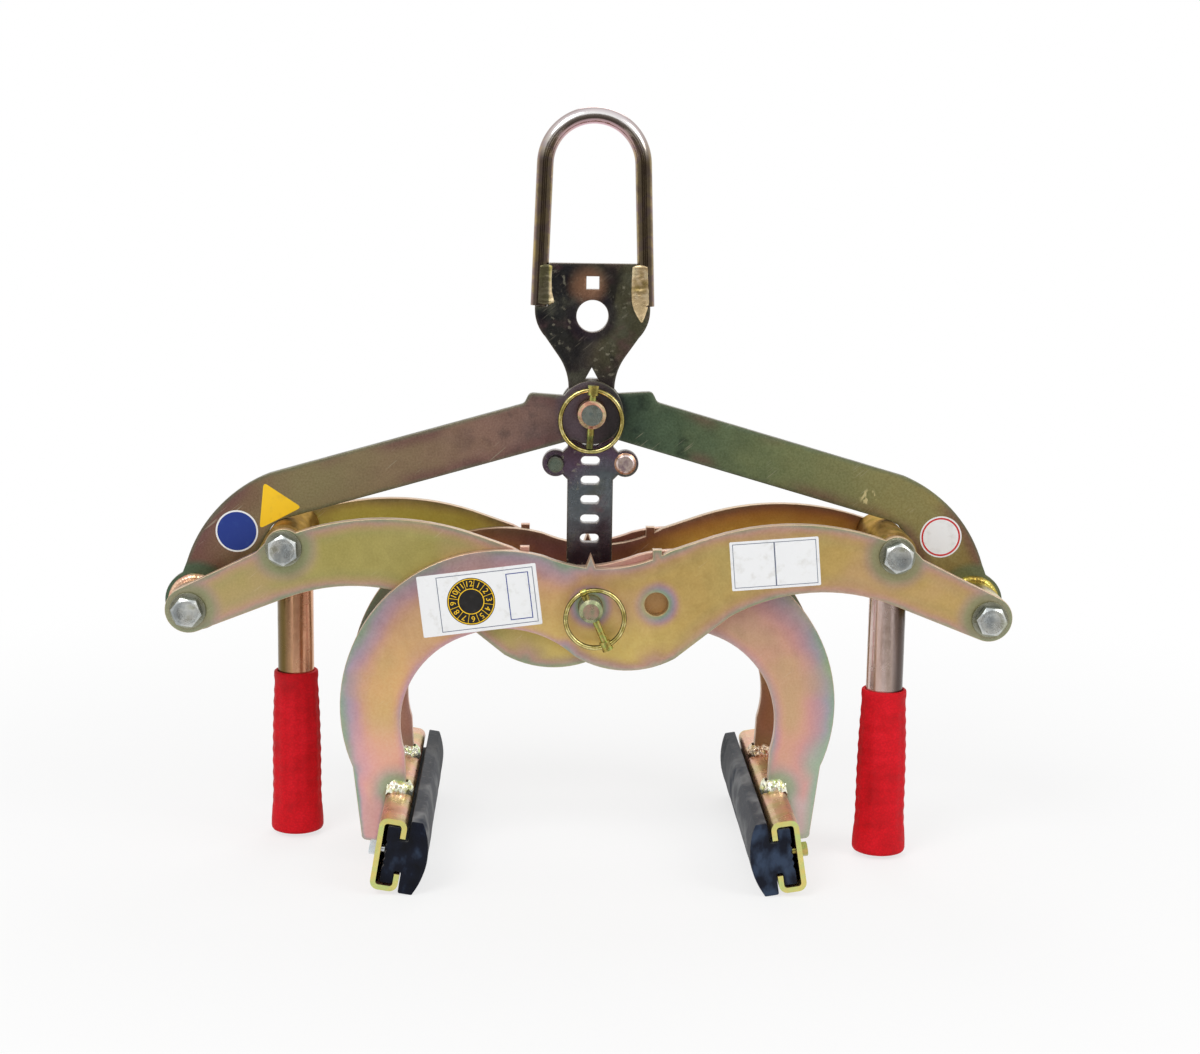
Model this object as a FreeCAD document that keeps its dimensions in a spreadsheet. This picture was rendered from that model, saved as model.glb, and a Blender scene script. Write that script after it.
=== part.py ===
import FreeCAD, Part
import math
import os
import Sketcher

# Scissor lifting tongs, standing wide open on their jaws, in millimetres and degrees.
# The frame has +Z up, +X to the right hand of someone facing the linch pins and -Y towards them.
# The origin is on the floor, below the lower pivot, in the middle of the jaws' length.
# The two arms are one part used twice, the second turned half a turn about Z, and so are the two links.
# "Right arm" means the arm that carries the right handle and the left jaw.

SIZES = {
    # Arm plates and how they pass each other
    "plate_thickness": 8.0,
    "plate_gap": 1.0,
    "clear_half_width": 43.0,
    "side_clearance": 0.3,
    "running_clearance": 0.05,
    "seat_clearance": 0.02,
    # Pivot places, from the lower pivot
    "upper_pivot_rise": 144.5,
    "outer_pin_reach": 310.0,
    "outer_pin_drop": 7.5,
    "handle_pin_reach": 236.0,
    "handle_pin_rise": 41.5,
    "second_hole_reach": 51.0,
    "second_hole_rise": 2.0,
    # Arm outline
    "outer_lobe_radius": 18.0,
    "outer_lobe_middle_angle": 24.0,
    "outer_top_slope": 27.0,
    "outer_under_slope": 20.8,
    "handle_lobe_radius": 15.0,
    "handle_lobe_start_angle": 14.0,
    "handle_lobe_top_angle": 70.0,
    "handle_lobe_end_angle": 126.0,
    "shoulder_out": 21.5,
    "shoulder_drop": 3.5,
    "arch_reach": 150.0,
    "arch_rise": 65.0,
    "arch_end_reach": 85.0,
    "arch_end_rise": 52.0,
    "valley_side_reach": 61.0,
    "valley_reach": 8.0,
    "valley_rise": 29.4,
    "valley_radius": 105.6,
    "mark_width": 7.1,
    "square_mark_height": 6.0,
    "pointed_mark_height": 9.6,
    "bow_reach": 69.0,
    "bow_drop": 81.0,
    "bow_radius": 124.0,
    "bow_start_angle": 75.0,
    "bow_end_angle": 203.0,
    "throat_reach": 71.5,
    "throat_drop": 95.0,
    "throat_radius": 75.0,
    "throat_start_angle": 197.0,
    "throat_end_angle": 108.0,
    "throat_crown_reach": 51.0,
    "throat_crown_drop": 19.8,
    "belly_left": 12.0,
    "belly_left_drop": 39.5,
    "belly_middle": 27.0,
    "belly_drop": 50.8,
    "belly_right": 66.0,
    "belly_right_drop": 41.0,
    "under_start_reach": 108.0,
    "under_start_drop": 7.5,
    "under_reach": 170.0,
    "under_rise": 12.0,
    "under_end_reach": 235.0,
    "under_end_rise": 2.5,
    "foot_width": 14.0,
    "foot_length": 15.0,
    "foot_corner": 4.0,
    "foot_cover": 15.0,
    # Jaws: channel and rubber pad, in a frame tilted with the jaw
    "jaw_reach": 161.0,
    "jaw_drop": 175.0,
    "jaw_tilt": 9.3,
    "jaw_length": 262.0,
    "channel_height": 56.0,
    "channel_depth": 21.0,
    "channel_sheet": 4.0,
    "channel_lip": 14.0,
    "channel_corner": 6.5,
    "pad_height": 57.0,
    "pad_edge_depth": 32.5,
    "pad_crown_depth": 40.0,
    "pad_lip_gap": 2.5,
    "pad_low_gap": 0.8,
    "pad_head_height": 44.0,
    "pad_back_gap": 3.0,
    "pad_slot_gap": 0.3,
    "pad_neck_height": 24.0,
    "pad_tooth": 1.6,
    "screw_end_distance": 13.0,
    "screw_radius": 3.0,
    "screw_flats": 10.0,
    "screw_head": 5.0,
    # Links
    "link_thickness": 8.0,
    "link_gap": 0.5,
    "link_width": 37.5,
    "link_slope": 16.0,
    "link_leg_slope": 60.0,
    "link_stop_gap": 0.4,
    "link_eye_radius": 24.0,
    "link_eye_start_angle": 9.0,
    "link_eye_middle_angle": 233.0,
    "link_eye_end_angle": 115.0,
    "link_neck_out": 6.5,
    "link_neck_rise": 31.0,
    "link_head_radius": 25.0,
    "link_head_start_angle": 148.0,
    "link_head_middle_angle": 13.0,
    "link_head_end_angle": 238.0,
    "link_shoulder_out": 48.5,
    "link_shoulder_rise": 15.0,
    "link_shoulder_foot": 4.0,
    "hub_radius": 18.0,
    "slot_travel": 7.0,
    "slot_margin": 1.2,
    # Bolts, nuts, handle
    "bolt_radius": 7.0,
    "bolt_flats": 21.0,
    "bolt_head": 8.8,
    "bolt_point": 3.0,
    "washer_radius": 14.0,
    "washer_thickness": 2.5,
    "nut_height": 12.8,
    "right_outer_bolt_turn": 54.0,
    "right_handle_bolt_turn": 22.0,
    "left_outer_bolt_turn": 51.0,
    "left_handle_bolt_turn": 33.0,
    "handle_spacer_radius": 16.85,
    "handle_tube_radius": 14.5,
    "handle_tube_wall": 2.5,
    "handle_offset": 24.5,
    "grip_top_drop": 72.0,
    "grip_floor_gap": 3.0,
    "grip_cap": 6.0,
    "grip_top_radius": 17.8,
    "grip_belly_radius": 19.0,
    "grip_flare_radius": 21.3,
    "grip_flare_height": 14.0,
    "grip_round": 3.0,
    # Lower pivot
    "lower_pin_radius": 9.0,
    "lower_pin_nose": 22.0,
    "lower_head_radius": 16.0,
    "lower_head_thickness": 6.0,
    "lower_spacer_radius": 15.0,
    # Upper pivot
    "upper_pin_radius": 11.0,
    "upper_pin_nose": 18.5,
    "upper_head_radius": 23.0,
    "upper_head_thickness": 5.0,
    "pin_point_chamfer": 2.6,
    # Linch pins and their spring rings
    "linch_radius": 2.8,
    "linch_setback": 11.5,
    "linch_head_radius": 4.4,
    "linch_head_length": 7.6,
    "upper_ring_radius": 24.0,
    "lower_ring_radius": 22.5,
    "ring_wire_radius": 1.9,
    "ring_hole_play": 0.75,
    "ring_tip_gap": 0.4,
    "upper_linch_reach": 18.5,
    "upper_linch_lean": 3.0,
    "lower_linch_reach": 31.0,
    "lower_linch_lean": 156.5,
    # Suspension plate
    "hanger_thickness": 10.0,
    "hanger_neck_height": 18.5,
    "hanger_waist_height": 39.5,
    "hanger_step_height": 24.0,
    "hanger_top_height": 33.5,
    "hanger_neck_half": 18.0,
    "hanger_waist_half": 36.5,
    "hanger_step_half": 45.0,
    "hanger_step_edge": 3.0,
    "hanger_foot_gap": 0.5,
    "hook_hole_radius": 12.5,
    "hook_hole_drop": 7.3,
    "square_hole": 10.0,
    "square_hole_height": 18.5,
    "triangle_half": 5.0,
    "triangle_height": 9.2,
    "triangle_base_height": 25.5,
    "ear_reach": 27.5,
    "ear_drop": 41.2,
    "ear_radius": 10.5,
    "ear_blend": 4.0,
    "stud_radius": 6.0,
    "stud_length": 10.0,
    "stud_weld_radius": 8.6,
    "stud_weld_height": 1.6,
    "slot_length": 15.0,
    "slot_height": 7.0,
    "slot_pitch": 15.5,
    "slot_first_drop": 23.5,
    "slot_last_margin": 20.0,
    # Bail
    "bail_bar_radius": 6.5,
    "bail_half_width": 38.0,
    "bail_height": 119.6,
    "bail_lean": 2.06,
    "bail_weld_gap": 0.2,
}

doc = FreeCAD.newDocument("LiftingTongs")
sheet = doc.addObject("Spreadsheet::Sheet", "Sizes")
for row, (alias, number) in enumerate(SIZES.items(), start=1):
    sheet.set("A%d" % row, alias)
    sheet.set("B%d" % row, str(number))
    sheet.setAlias("B%d" % row, alias)
doc.recompute()


class Size:
    """A dimension that carries its number and the sheet formula that gives it."""

    def __init__(self, value, text):
        self.value = value
        self.text = text

    def __add__(self, other):
        other = as_size(other)
        return Size(self.value + other.value, "(%s + %s)" % (self.text, other.text))

    def __sub__(self, other):
        other = as_size(other)
        return Size(self.value - other.value, "(%s - %s)" % (self.text, other.text))

    def __mul__(self, other):
        other = as_size(other)
        return Size(self.value * other.value, "(%s * %s)" % (self.text, other.text))

    def __truediv__(self, other):
        other = as_size(other)
        return Size(self.value / other.value, "(%s / %s)" % (self.text, other.text))

    def __neg__(self):
        return self * -1

    __radd__ = __add__
    __rmul__ = __mul__

    def __rsub__(self, other):
        return as_size(other) - self


def as_size(number):
    if isinstance(number, Size):
        return number
    return Size(float(number), "(%r)" % float(number))


def sine(angle):
    return Size(math.sin(math.radians(angle.value)), "sin(%s)" % angle.text)


def cosine(angle):
    return Size(math.cos(math.radians(angle.value)), "cos(%s)" % angle.text)


def tangent(angle):
    return Size(math.tan(math.radians(angle.value)), "tan(%s)" % angle.text)


def root(square):
    return Size(math.sqrt(square.value), "sqrt(%s)" % square.text)


def on_circle(centre, radius, angle):
    """The point of a circle at an angle counted from +X towards +Z."""
    return (centre[0] + radius * cosine(angle), centre[1] + radius * sine(angle))


def shifted(point, along_x, along_z):
    return (point[0] + along_x, point[1] + along_z)


def mirrored(point):
    return (-point[0], point[1])


S = {alias: Size(number, "Sizes." + alias) for alias, number in SIZES.items()}
ZERO = as_size(0)
QUARTER_COSINE = math.sqrt(0.5)
UPRIGHT = FreeCAD.Rotation()
HALF_TURN = FreeCAD.Rotation(FreeCAD.Vector(0, 0, 1), 180)
ALONG_Y = FreeCAD.Rotation(FreeCAD.Vector(1, 0, 0), -90)
AGAINST_Y = FreeCAD.Rotation(FreeCAD.Vector(1, 0, 0), 90)

pieces = {}


def bind(thing, name, size):
    """Give a property its size and tie it to the sheet."""
    setattr(thing, name, size.value)
    thing.setExpression(name, size.text)


def place(thing, x, y, z, rotation=UPRIGHT):
    """Set a piece in the frame, at a place tied to the sheet."""
    x = as_size(x)
    y = as_size(y)
    z = as_size(z)
    thing.Placement = FreeCAD.Placement(FreeCAD.Vector(x.value, y.value, z.value), rotation)
    thing.setExpression("Placement.Base.x", x.text)
    thing.setExpression("Placement.Base.y", y.text)
    thing.setExpression("Placement.Base.z", z.text)


def keep(thing, label):
    """Name a finished piece."""
    thing.Label = label
    pieces[label] = thing
    return thing


def cylinder(name, radius, length):
    shape = doc.addObject("Part::Cylinder", name)
    bind(shape, "Radius", as_size(radius))
    bind(shape, "Height", as_size(length))
    return shape


def cone(name, low_radius, high_radius, length):
    shape = doc.addObject("Part::Cone", name)
    bind(shape, "Radius1", as_size(low_radius))
    bind(shape, "Radius2", as_size(high_radius))
    bind(shape, "Height", as_size(length))
    return shape


def cut(name, base, tool):
    shape = doc.addObject("Part::Cut", name)
    shape.Base = base
    shape.Tool = tool
    return shape


def fuse(name, shapes):
    shape = doc.addObject("Part::MultiFuse", name)
    shape.Shapes = shapes
    return shape


def tube(name, radius, bore, length):
    """A plain tube standing on its own origin along Z, its bore cut past both ends."""
    outside = cylinder(name + "_outside", radius, length)
    inside = cylinder(name + "_inside", bore, length + 2)
    place(inside, 0, 0, -1)
    return cut(name, outside, inside)


def hexagon(name, flats, height):
    """A hexagonal prism with its upper corners turned off, standing on its own origin."""
    prism = doc.addObject("Part::Prism", name + "_prism")
    prism.Polygon = 6
    bind(prism, "Circumradius", flats / math.sqrt(3))
    bind(prism, "Height", height)
    face_radius = flats * 0.47
    turned = cone(name + "_turning", face_radius + height * math.sqrt(3), face_radius, height)
    common = doc.addObject("Part::Common", name)
    common.Base = prism
    common.Tool = turned
    return common


def arc_geometry(start, middle, end):
    """The arc through three points, always drawn counter-clockwise, and its start's vertex number."""
    (ax, az), (bx, bz), (cx, cz) = start, middle, end
    bend = 2 * (ax * (bz - cz) + bx * (cz - az) + cx * (az - bz))
    a_square = ax * ax + az * az
    b_square = bx * bx + bz * bz
    c_square = cx * cx + cz * cz
    x = (a_square * (bz - cz) + b_square * (cz - az) + c_square * (az - bz)) / bend
    z = (a_square * (cx - bx) + b_square * (ax - cx) + c_square * (bx - ax)) / bend
    circle = Part.Circle(FreeCAD.Vector(x, z, 0), FreeCAD.Vector(0, 0, 1), math.hypot(ax - x, az - z))
    first = math.atan2(az - z, ax - x)
    last = math.atan2(cz - z, cx - x)
    if bend > 0:
        return Part.ArcOfCircle(circle, first, last), 1
    return Part.ArcOfCircle(circle, last, first), 2


class Drawing:
    """A sketch whose points are tied to the sheet one by one."""

    def __init__(self, body, name, plane_role):
        self.sketch = body.newObject("Sketcher::SketchObject", name)
        plane = [item for item in body.Origin.OriginFeatures if item.Role == plane_role][0]
        self.sketch.AttachmentSupport = [(plane, "")]
        self.sketch.MapMode = "FlatFace"
        self.constraints = []
        self.formulas = []

    def tie(self, geometry, vertex, point):
        """Hold a vertex at a point given by the sheet."""
        for kind, size in zip(("DistanceX", "DistanceY"), point):
            self.formulas.append((len(self.constraints), size.text))
            self.constraints.append(Sketcher.Constraint(kind, -1, 1, geometry, vertex, size.value))

    def stroke(self, start, step):
        """One line or arc from start, as its geometry, first vertex, last vertex and end point."""
        end = step[-1]
        before = (start[0].value, start[1].value)
        here = (end[0].value, end[1].value)
        if len(step) == 1:
            line = Part.LineSegment(FreeCAD.Vector(*before, 0), FreeCAD.Vector(*here, 0))
            return self.sketch.addGeometry(line, False), 1, 2, end
        middle = (step[0][0].value, step[0][1].value)
        arc, first = arc_geometry(before, middle, here)
        geometry = self.sketch.addGeometry(arc, False)
        mark = self.sketch.addGeometry(Part.Point(FreeCAD.Vector(*middle, 0)), True)
        self.constraints.append(Sketcher.Constraint("PointOnObject", mark, 1, geometry))
        self.tie(mark, 1, step[0])
        return geometry, first, 3 - first, end

    def join(self, strokes):
        """Fasten each stroke's end to the next one's start."""
        for (geometry, _, last, end), following in zip(strokes, strokes[1:] + strokes[:1]):
            self.constraints.append(
                Sketcher.Constraint("Coincident", geometry, last, following[0], following[1]))
            self.tie(geometry, last, end)

    def thread(self, start, strokes):
        """Fasten the strokes of an open path one after another."""
        self.tie(strokes[0][0], strokes[0][1], start)
        for geometry, _, last, end in strokes:
            self.tie(geometry, last, end)
        for (geometry, _, last, _), following in zip(strokes, strokes[1:]):
            self.constraints.append(
                Sketcher.Constraint("Coincident", geometry, last, following[0], following[1]))

    def outline(self, steps):
        """A closed outline of steps: a corner point, or a pair of an arc's middle point and its end."""
        starts = [steps[-1][-1]] + [step[-1] for step in steps[:-1]]
        self.join([self.stroke(start, step) for start, step in zip(starts, steps)])

    def circle(self, centre, radius):
        ring = Part.Circle(FreeCAD.Vector(centre[0].value, centre[1].value, 0),
                           FreeCAD.Vector(0, 0, 1), radius.value)
        geometry = self.sketch.addGeometry(ring, False)
        self.tie(geometry, 3, centre)
        self.formulas.append((len(self.constraints), radius.text))
        self.constraints.append(Sketcher.Constraint("Radius", geometry, radius.value))

    def slot(self, centre, half_length, half_height):
        """A hole with round ends, lying along X."""
        straight = half_length - half_height
        left = shifted(centre, -straight, ZERO)
        right = shifted(centre, straight, ZERO)
        self.outline([
            (shifted(left, ZERO, half_height),),
            (shifted(left, -half_height, ZERO), shifted(left, ZERO, -half_height)),
            (shifted(right, ZERO, -half_height),),
            (shifted(right, half_height, ZERO), shifted(right, ZERO, half_height)),
        ])

    def finish(self):
        self.sketch.addConstraint(self.constraints)
        for number, text in self.formulas:
            self.sketch.setExpression("Constraints[%d]" % number, text)
        return self.sketch


def plate(label, draw, thickness, front, height, rotation=UPRIGHT):
    """A plate cut to a drawing in the XZ plane, with its front face at y = front once it is turned."""
    body = doc.addObject("PartDesign::Body", label)
    drawing = Drawing(body, label + "_drawing", "XZ_Plane")
    draw(drawing)
    pad = body.newObject("PartDesign::Pad", label + "_pad")
    pad.Profile = drawing.finish()
    bind(pad, "Length", thickness)
    drawn_face = front
    if rotation is UPRIGHT:
        drawn_face = front + thickness
    place(body, 0, drawn_face, height, rotation)
    return keep(body, label)


# Places that several pieces share, seen from the front with the lower pivot at zero
right_arm_front = -(S["clear_half_width"] + 2 * S["plate_thickness"] + S["plate_gap"])
left_arm_front = -(S["clear_half_width"] + S["plate_thickness"])
right_arm_back = S["clear_half_width"]
left_arm_back = S["clear_half_width"] + S["plate_thickness"] + S["plate_gap"]
jaw_half_length = S["jaw_length"] / 2
lower_pivot = (ZERO, ZERO)
upper_pivot = (ZERO, S["upper_pivot_rise"])
outer_pin = (S["outer_pin_reach"], -S["outer_pin_drop"])
handle_pin = (S["handle_pin_reach"], S["handle_pin_rise"])
second_hole = (S["second_hole_reach"], S["second_hole_rise"])


def in_jaw(depth, rise):
    """A point of the left jaw: depth inwards from the web's outer face, rise along the web from its middle."""
    depth = as_size(depth)
    rise = as_size(rise)
    lean = sine(S["jaw_tilt"])
    stand = cosine(S["jaw_tilt"])
    return (depth * stand + rise * lean - S["jaw_reach"], rise * stand - depth * lean - S["jaw_drop"])


# The pads' lower inner edges are what stands on the floor
pivot_height = -in_jaw(S["pad_edge_depth"], S["pad_height"] / -2)[1]


def valley(x):
    """A point of the hollow above the lower pivot, where the index marks stand."""
    away = x - S["valley_reach"]
    fall = root(S["valley_radius"] * S["valley_radius"] - away * away)
    return (x, S["valley_rise"] + S["valley_radius"] - fall)


def draw_arm(drawing):
    """The right arm's plate: left jaw foot, bow, crossing with two pivot holes, arch, handle and outer lobes."""
    outer_top = on_circle(outer_pin, S["outer_lobe_radius"], 90 - S["outer_top_slope"])
    outer_under = on_circle(outer_pin, S["outer_lobe_radius"], S["outer_under_slope"] * -1 - 90)
    shoulder = shifted(handle_pin, S["shoulder_out"], -S["shoulder_drop"])
    lobe_start = on_circle(handle_pin, S["handle_lobe_radius"], S["handle_lobe_start_angle"])
    lobe_top = on_circle(handle_pin, S["handle_lobe_radius"], S["handle_lobe_top_angle"])
    lobe_end = on_circle(handle_pin, S["handle_lobe_radius"], S["handle_lobe_end_angle"])
    mark_half = S["mark_width"] / 2
    square_right = second_hole[0] + mark_half
    square_left = second_hole[0] - mark_half
    square_top = valley(second_hole[0])[1] + S["square_mark_height"]
    bow = (-S["bow_reach"], -S["bow_drop"])
    bow_start = on_circle(bow, S["bow_radius"], S["bow_start_angle"])
    bow_middle = on_circle(bow, S["bow_radius"], (S["bow_start_angle"] + S["bow_end_angle"]) / 2)
    bow_end = on_circle(bow, S["bow_radius"], S["bow_end_angle"])
    foot_low = S["foot_length"] * -1
    foot_outer = in_jaw(-S["foot_width"], foot_low + S["foot_corner"])
    foot_round = in_jaw(S["foot_corner"] * (1 - QUARTER_COSINE) - S["foot_width"],
                        foot_low + S["foot_corner"] * (1 - QUARTER_COSINE))
    foot_under = in_jaw(S["foot_corner"] - S["foot_width"], foot_low)
    notch = in_jaw(0, S["channel_height"] / 2)
    seat_end = in_jaw(S["foot_cover"], S["channel_height"] / 2)
    throat = (-S["throat_reach"], -S["throat_drop"])
    throat_start = on_circle(throat, S["throat_radius"], S["throat_start_angle"])
    throat_middle = on_circle(throat, S["throat_radius"], (S["throat_start_angle"] + S["throat_end_angle"]) / 2)
    throat_end = on_circle(throat, S["throat_radius"], S["throat_end_angle"])
    drawing.outline([
        (on_circle(outer_pin, S["outer_lobe_radius"], -S["outer_lobe_middle_angle"]), outer_top),
        (shoulder,),
        (lobe_start,),
        (lobe_top, lobe_end),
        ((S["arch_reach"], S["arch_rise"]), (S["arch_end_reach"], S["arch_end_rise"])),
        (valley(S["valley_side_reach"]),),
        (valley(square_right),),
        ((square_right, square_top),),
        ((square_left, square_top),),
        (valley(square_left),),
        (valley(second_hole[0] / 2), valley(mark_half)),
        (shifted(valley(ZERO), ZERO, S["pointed_mark_height"]),),
        (valley(-mark_half),),
        (valley((bow_start[0] - mark_half) / 2), bow_start),
        (bow_middle, bow_end),
        (foot_outer,),
        (foot_round, foot_under),
        (in_jaw(0, foot_low),),
        (notch,),
        (seat_end,),
        (throat_start,),
        (throat_middle, throat_end),
        ((-S["throat_crown_reach"], -S["throat_crown_drop"]), (-S["belly_left"], -S["belly_left_drop"])),
        ((S["belly_middle"], -S["belly_drop"]), (S["belly_right"], -S["belly_right_drop"])),
        ((S["under_start_reach"], -S["under_start_drop"]),),
        ((S["under_reach"], S["under_rise"]), (S["under_end_reach"], S["under_end_rise"])),
        (outer_under,),
    ])
    drawing.circle(lower_pivot, S["lower_pin_radius"] + S["running_clearance"])
    drawing.circle(second_hole, S["lower_pin_radius"] + S["running_clearance"])
    drawing.circle(outer_pin, S["bolt_radius"] + S["seat_clearance"])
    drawing.circle(handle_pin, S["bolt_radius"] + S["seat_clearance"])


def draw_link(drawing, slotted):
    """The left link: shouldered head on the upper pivot, straight bar, bend over the handle spacer, outer eye."""
    pin = mirrored(outer_pin)
    stop = mirrored(handle_pin)
    inner = S["handle_spacer_radius"] + S["link_stop_gap"]
    outer = inner + S["link_width"]
    bar_normal = 90 + S["link_slope"]
    leg_normal = 90 + S["link_leg_slope"]
    bend_angle = (bar_normal + leg_normal) / 2
    bend_start = on_circle(stop, inner, bar_normal)
    bend_end = on_circle(stop, inner, leg_normal)
    top_start = on_circle(stop, outer, bar_normal)
    shoulder_x = -S["link_shoulder_out"] - S["link_shoulder_foot"]
    shoulder_foot = (shoulder_x, top_start[1] + (shoulder_x - top_start[0]) * tangent(S["link_slope"]))
    shoulder = shifted(upper_pivot, -S["link_shoulder_out"], S["link_shoulder_rise"])
    head_start = on_circle(upper_pivot, S["link_head_radius"], S["link_head_start_angle"])
    head_end = on_circle(upper_pivot, S["link_head_radius"], S["link_head_end_angle"])
    neck = shifted(pin, -S["link_neck_out"], S["link_neck_rise"])
    drawing.outline([
        (shoulder_foot,),
        (shoulder,),
        (head_start,),
        (on_circle(upper_pivot, S["link_head_radius"], S["link_head_middle_angle"]), head_end),
        (bend_start,),
        (on_circle(stop, inner, bend_angle), bend_end),
        (on_circle(pin, S["link_eye_radius"], -S["link_eye_start_angle"]),),
        (on_circle(pin, S["link_eye_radius"], S["link_eye_middle_angle"]),
         on_circle(pin, S["link_eye_radius"], S["link_eye_end_angle"])),
        (neck,),
        (on_circle(stop, outer, bend_angle), top_start),
    ])
    drawing.circle(pin, S["hub_radius"] + S["running_clearance"])
    if slotted:
        half_height = S["upper_pin_radius"] + S["slot_margin"]
        drawing.slot(upper_pivot, half_height + S["slot_travel"], half_height)
    else:
        drawing.circle(upper_pivot, S["upper_pin_radius"] + S["running_clearance"])


# Heights of the suspension plate, stacked up from the upper pivot
neck_rise = S["upper_pivot_rise"] + S["hanger_neck_height"]
waist_rise = neck_rise + S["hanger_waist_height"]
step_rise = waist_rise + S["hanger_step_height"]
top_rise = step_rise + S["hanger_top_height"]
ear = (S["ear_reach"], S["upper_pivot_rise"] - S["ear_drop"])

# The bail's half ring and the points where its leaning legs run into it
bail_crown = (ZERO, top_rise + S["bail_height"] - S["bail_bar_radius"] - S["bail_half_width"])
bail_bend = on_circle(bail_crown, S["bail_half_width"], S["bail_lean"])


def bail_leg(rise):
    """A point of the right leg's centre line at a height above the lower pivot."""
    return (bail_bend[0] + (bail_bend[1] - rise) * tangent(S["bail_lean"]), rise)


def draw_hanger(drawing):
    """The suspension plate: wide top between the bail's legs, waist, ears for the stop studs, long tail."""
    edge_gap = S["bail_bar_radius"] + S["bail_weld_gap"]
    top = shifted(bail_leg(top_rise), -edge_gap, ZERO)
    step_inner = shifted(bail_leg(step_rise), -edge_gap, ZERO)
    step_outer = (S["hanger_step_half"], step_rise)
    step_low = (S["hanger_step_half"], step_rise - S["hanger_step_edge"])
    swell = (S["hanger_step_half"] * 0.83 + S["hanger_waist_half"] * 0.17, (step_rise + waist_rise) / 2)
    waist = (S["hanger_waist_half"], waist_rise)
    hip = (S["hanger_waist_half"] * 0.43 + S["hanger_neck_half"] * 0.57, waist_rise * 0.62 + neck_rise * 0.38)
    curve = (S["hanger_waist_half"] * 0.12 + S["hanger_neck_half"] * 0.88, waist_rise * 0.33 + neck_rise * 0.67)
    neck = (S["hanger_neck_half"], neck_rise)
    ear_inset = S["ear_reach"] - S["hanger_neck_half"] - S["ear_blend"]
    ear_side = root(S["ear_radius"] * S["ear_radius"] - ear_inset * ear_inset)
    ear_top = shifted(ear, -ear_inset, ear_side)
    ear_tip = shifted(ear, S["ear_radius"], ZERO)
    ear_low = shifted(ear, -ear_inset, -ear_side)
    blend_top = (S["hanger_neck_half"], ear[1] + ear_side + S["ear_blend"])
    blend_low = (S["hanger_neck_half"], ear[1] - ear_side - S["ear_blend"])
    tail_radius = S["upper_pivot_rise"] - S["lower_spacer_radius"] - S["hanger_foot_gap"]
    tail_side = root(tail_radius * tail_radius - S["hanger_neck_half"] * S["hanger_neck_half"])
    tail = (S["hanger_neck_half"], S["upper_pivot_rise"] - tail_side)
    tail_middle = (ZERO, S["upper_pivot_rise"] - tail_radius)
    drawing.outline([
        (top,),
        (step_inner,),
        (step_outer,),
        (step_low,),
        (swell, waist),
        (hip,),
        (curve, neck),
        (blend_top,),
        (ear_top,),
        (ear_tip, ear_low),
        (blend_low,),
        (tail,),
        (tail_middle, mirrored(tail)),
        (mirrored(blend_low),),
        (mirrored(ear_low),),
        (mirrored(ear_tip), mirrored(ear_top)),
        (mirrored(blend_top),),
        (mirrored(neck),),
        (mirrored(curve), mirrored(hip)),
        (mirrored(waist),),
        (mirrored(swell), mirrored(step_low)),
        (mirrored(step_outer),),
        (mirrored(step_inner),),
        (mirrored(top),),
    ])
    drawing.circle(upper_pivot, S["upper_pin_radius"] + S["running_clearance"])
    drawing.circle((ZERO, step_rise - S["hook_hole_drop"]), S["hook_hole_radius"])
    half = S["square_hole"] / 2
    low = step_rise + S["square_hole_height"] - half
    high = step_rise + S["square_hole_height"] + half
    drawing.outline([((-half, low),), ((half, low),), ((half, high),), ((-half, high),)])
    base = S["upper_pivot_rise"] + S["triangle_base_height"]
    drawing.outline([
        ((-S["triangle_half"], base),),
        ((S["triangle_half"], base),),
        ((ZERO, base + S["triangle_height"]),),
    ])
    slot_run = tail_radius - S["slot_first_drop"] - S["slot_last_margin"]
    for number in range(int(slot_run.value / SIZES["slot_pitch"]) + 1):
        rise = S["upper_pivot_rise"] - S["slot_first_drop"] - S["slot_pitch"] * number
        drawing.slot((ZERO, rise), S["slot_length"] / 2, S["slot_height"] / 2)
    for centre in (ear, mirrored(ear)):
        drawing.circle(centre, S["stud_radius"] + S["seat_clearance"])


def draw_channel(drawing):
    """The jaw channel's section: web outside, two flanges, two lips turned towards each other."""
    half = S["channel_height"] / 2
    depth = S["channel_depth"]
    sheet_thickness = S["channel_sheet"]
    lip = half - S["channel_lip"]
    corner = S["channel_corner"]
    bend = corner - sheet_thickness
    spare = corner * (1 - QUARTER_COSINE)
    inner_spare = bend * (1 - QUARTER_COSINE) + sheet_thickness
    def run(side):
        """One flange and its lip, from the outside of the web's bend round to the inside."""
        return [
            (in_jaw(0, (half - corner) * side),),
            (in_jaw(spare, (half - spare) * side), in_jaw(corner, half * side)),
            (in_jaw(depth - corner, half * side),),
            (in_jaw(depth - spare, (half - spare) * side), in_jaw(depth, (half - corner) * side)),
            (in_jaw(depth, lip * side),),
            (in_jaw(depth - sheet_thickness, lip * side),),
            (in_jaw(depth - sheet_thickness, (half - corner) * side),),
            (in_jaw(depth - inner_spare, (half - inner_spare) * side),
             in_jaw(depth - corner, (half - sheet_thickness) * side)),
            (in_jaw(corner, (half - sheet_thickness) * side),),
            (in_jaw(inner_spare, (half - inner_spare) * side),
             in_jaw(sheet_thickness, (half - corner) * side)),
        ]

    drawing.outline(run(1) + backwards(run(-1)))


def backwards(run):
    """The same run of corners and arcs, walked from its end to its start."""
    turned = [(run[-1][-1],)]
    for index in range(len(run) - 1, 0, -1):
        end = run[index - 1][-1]
        if len(run[index]) == 1:
            turned.append((end,))
        else:
            turned.append((run[index][0], end))
    return turned


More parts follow.
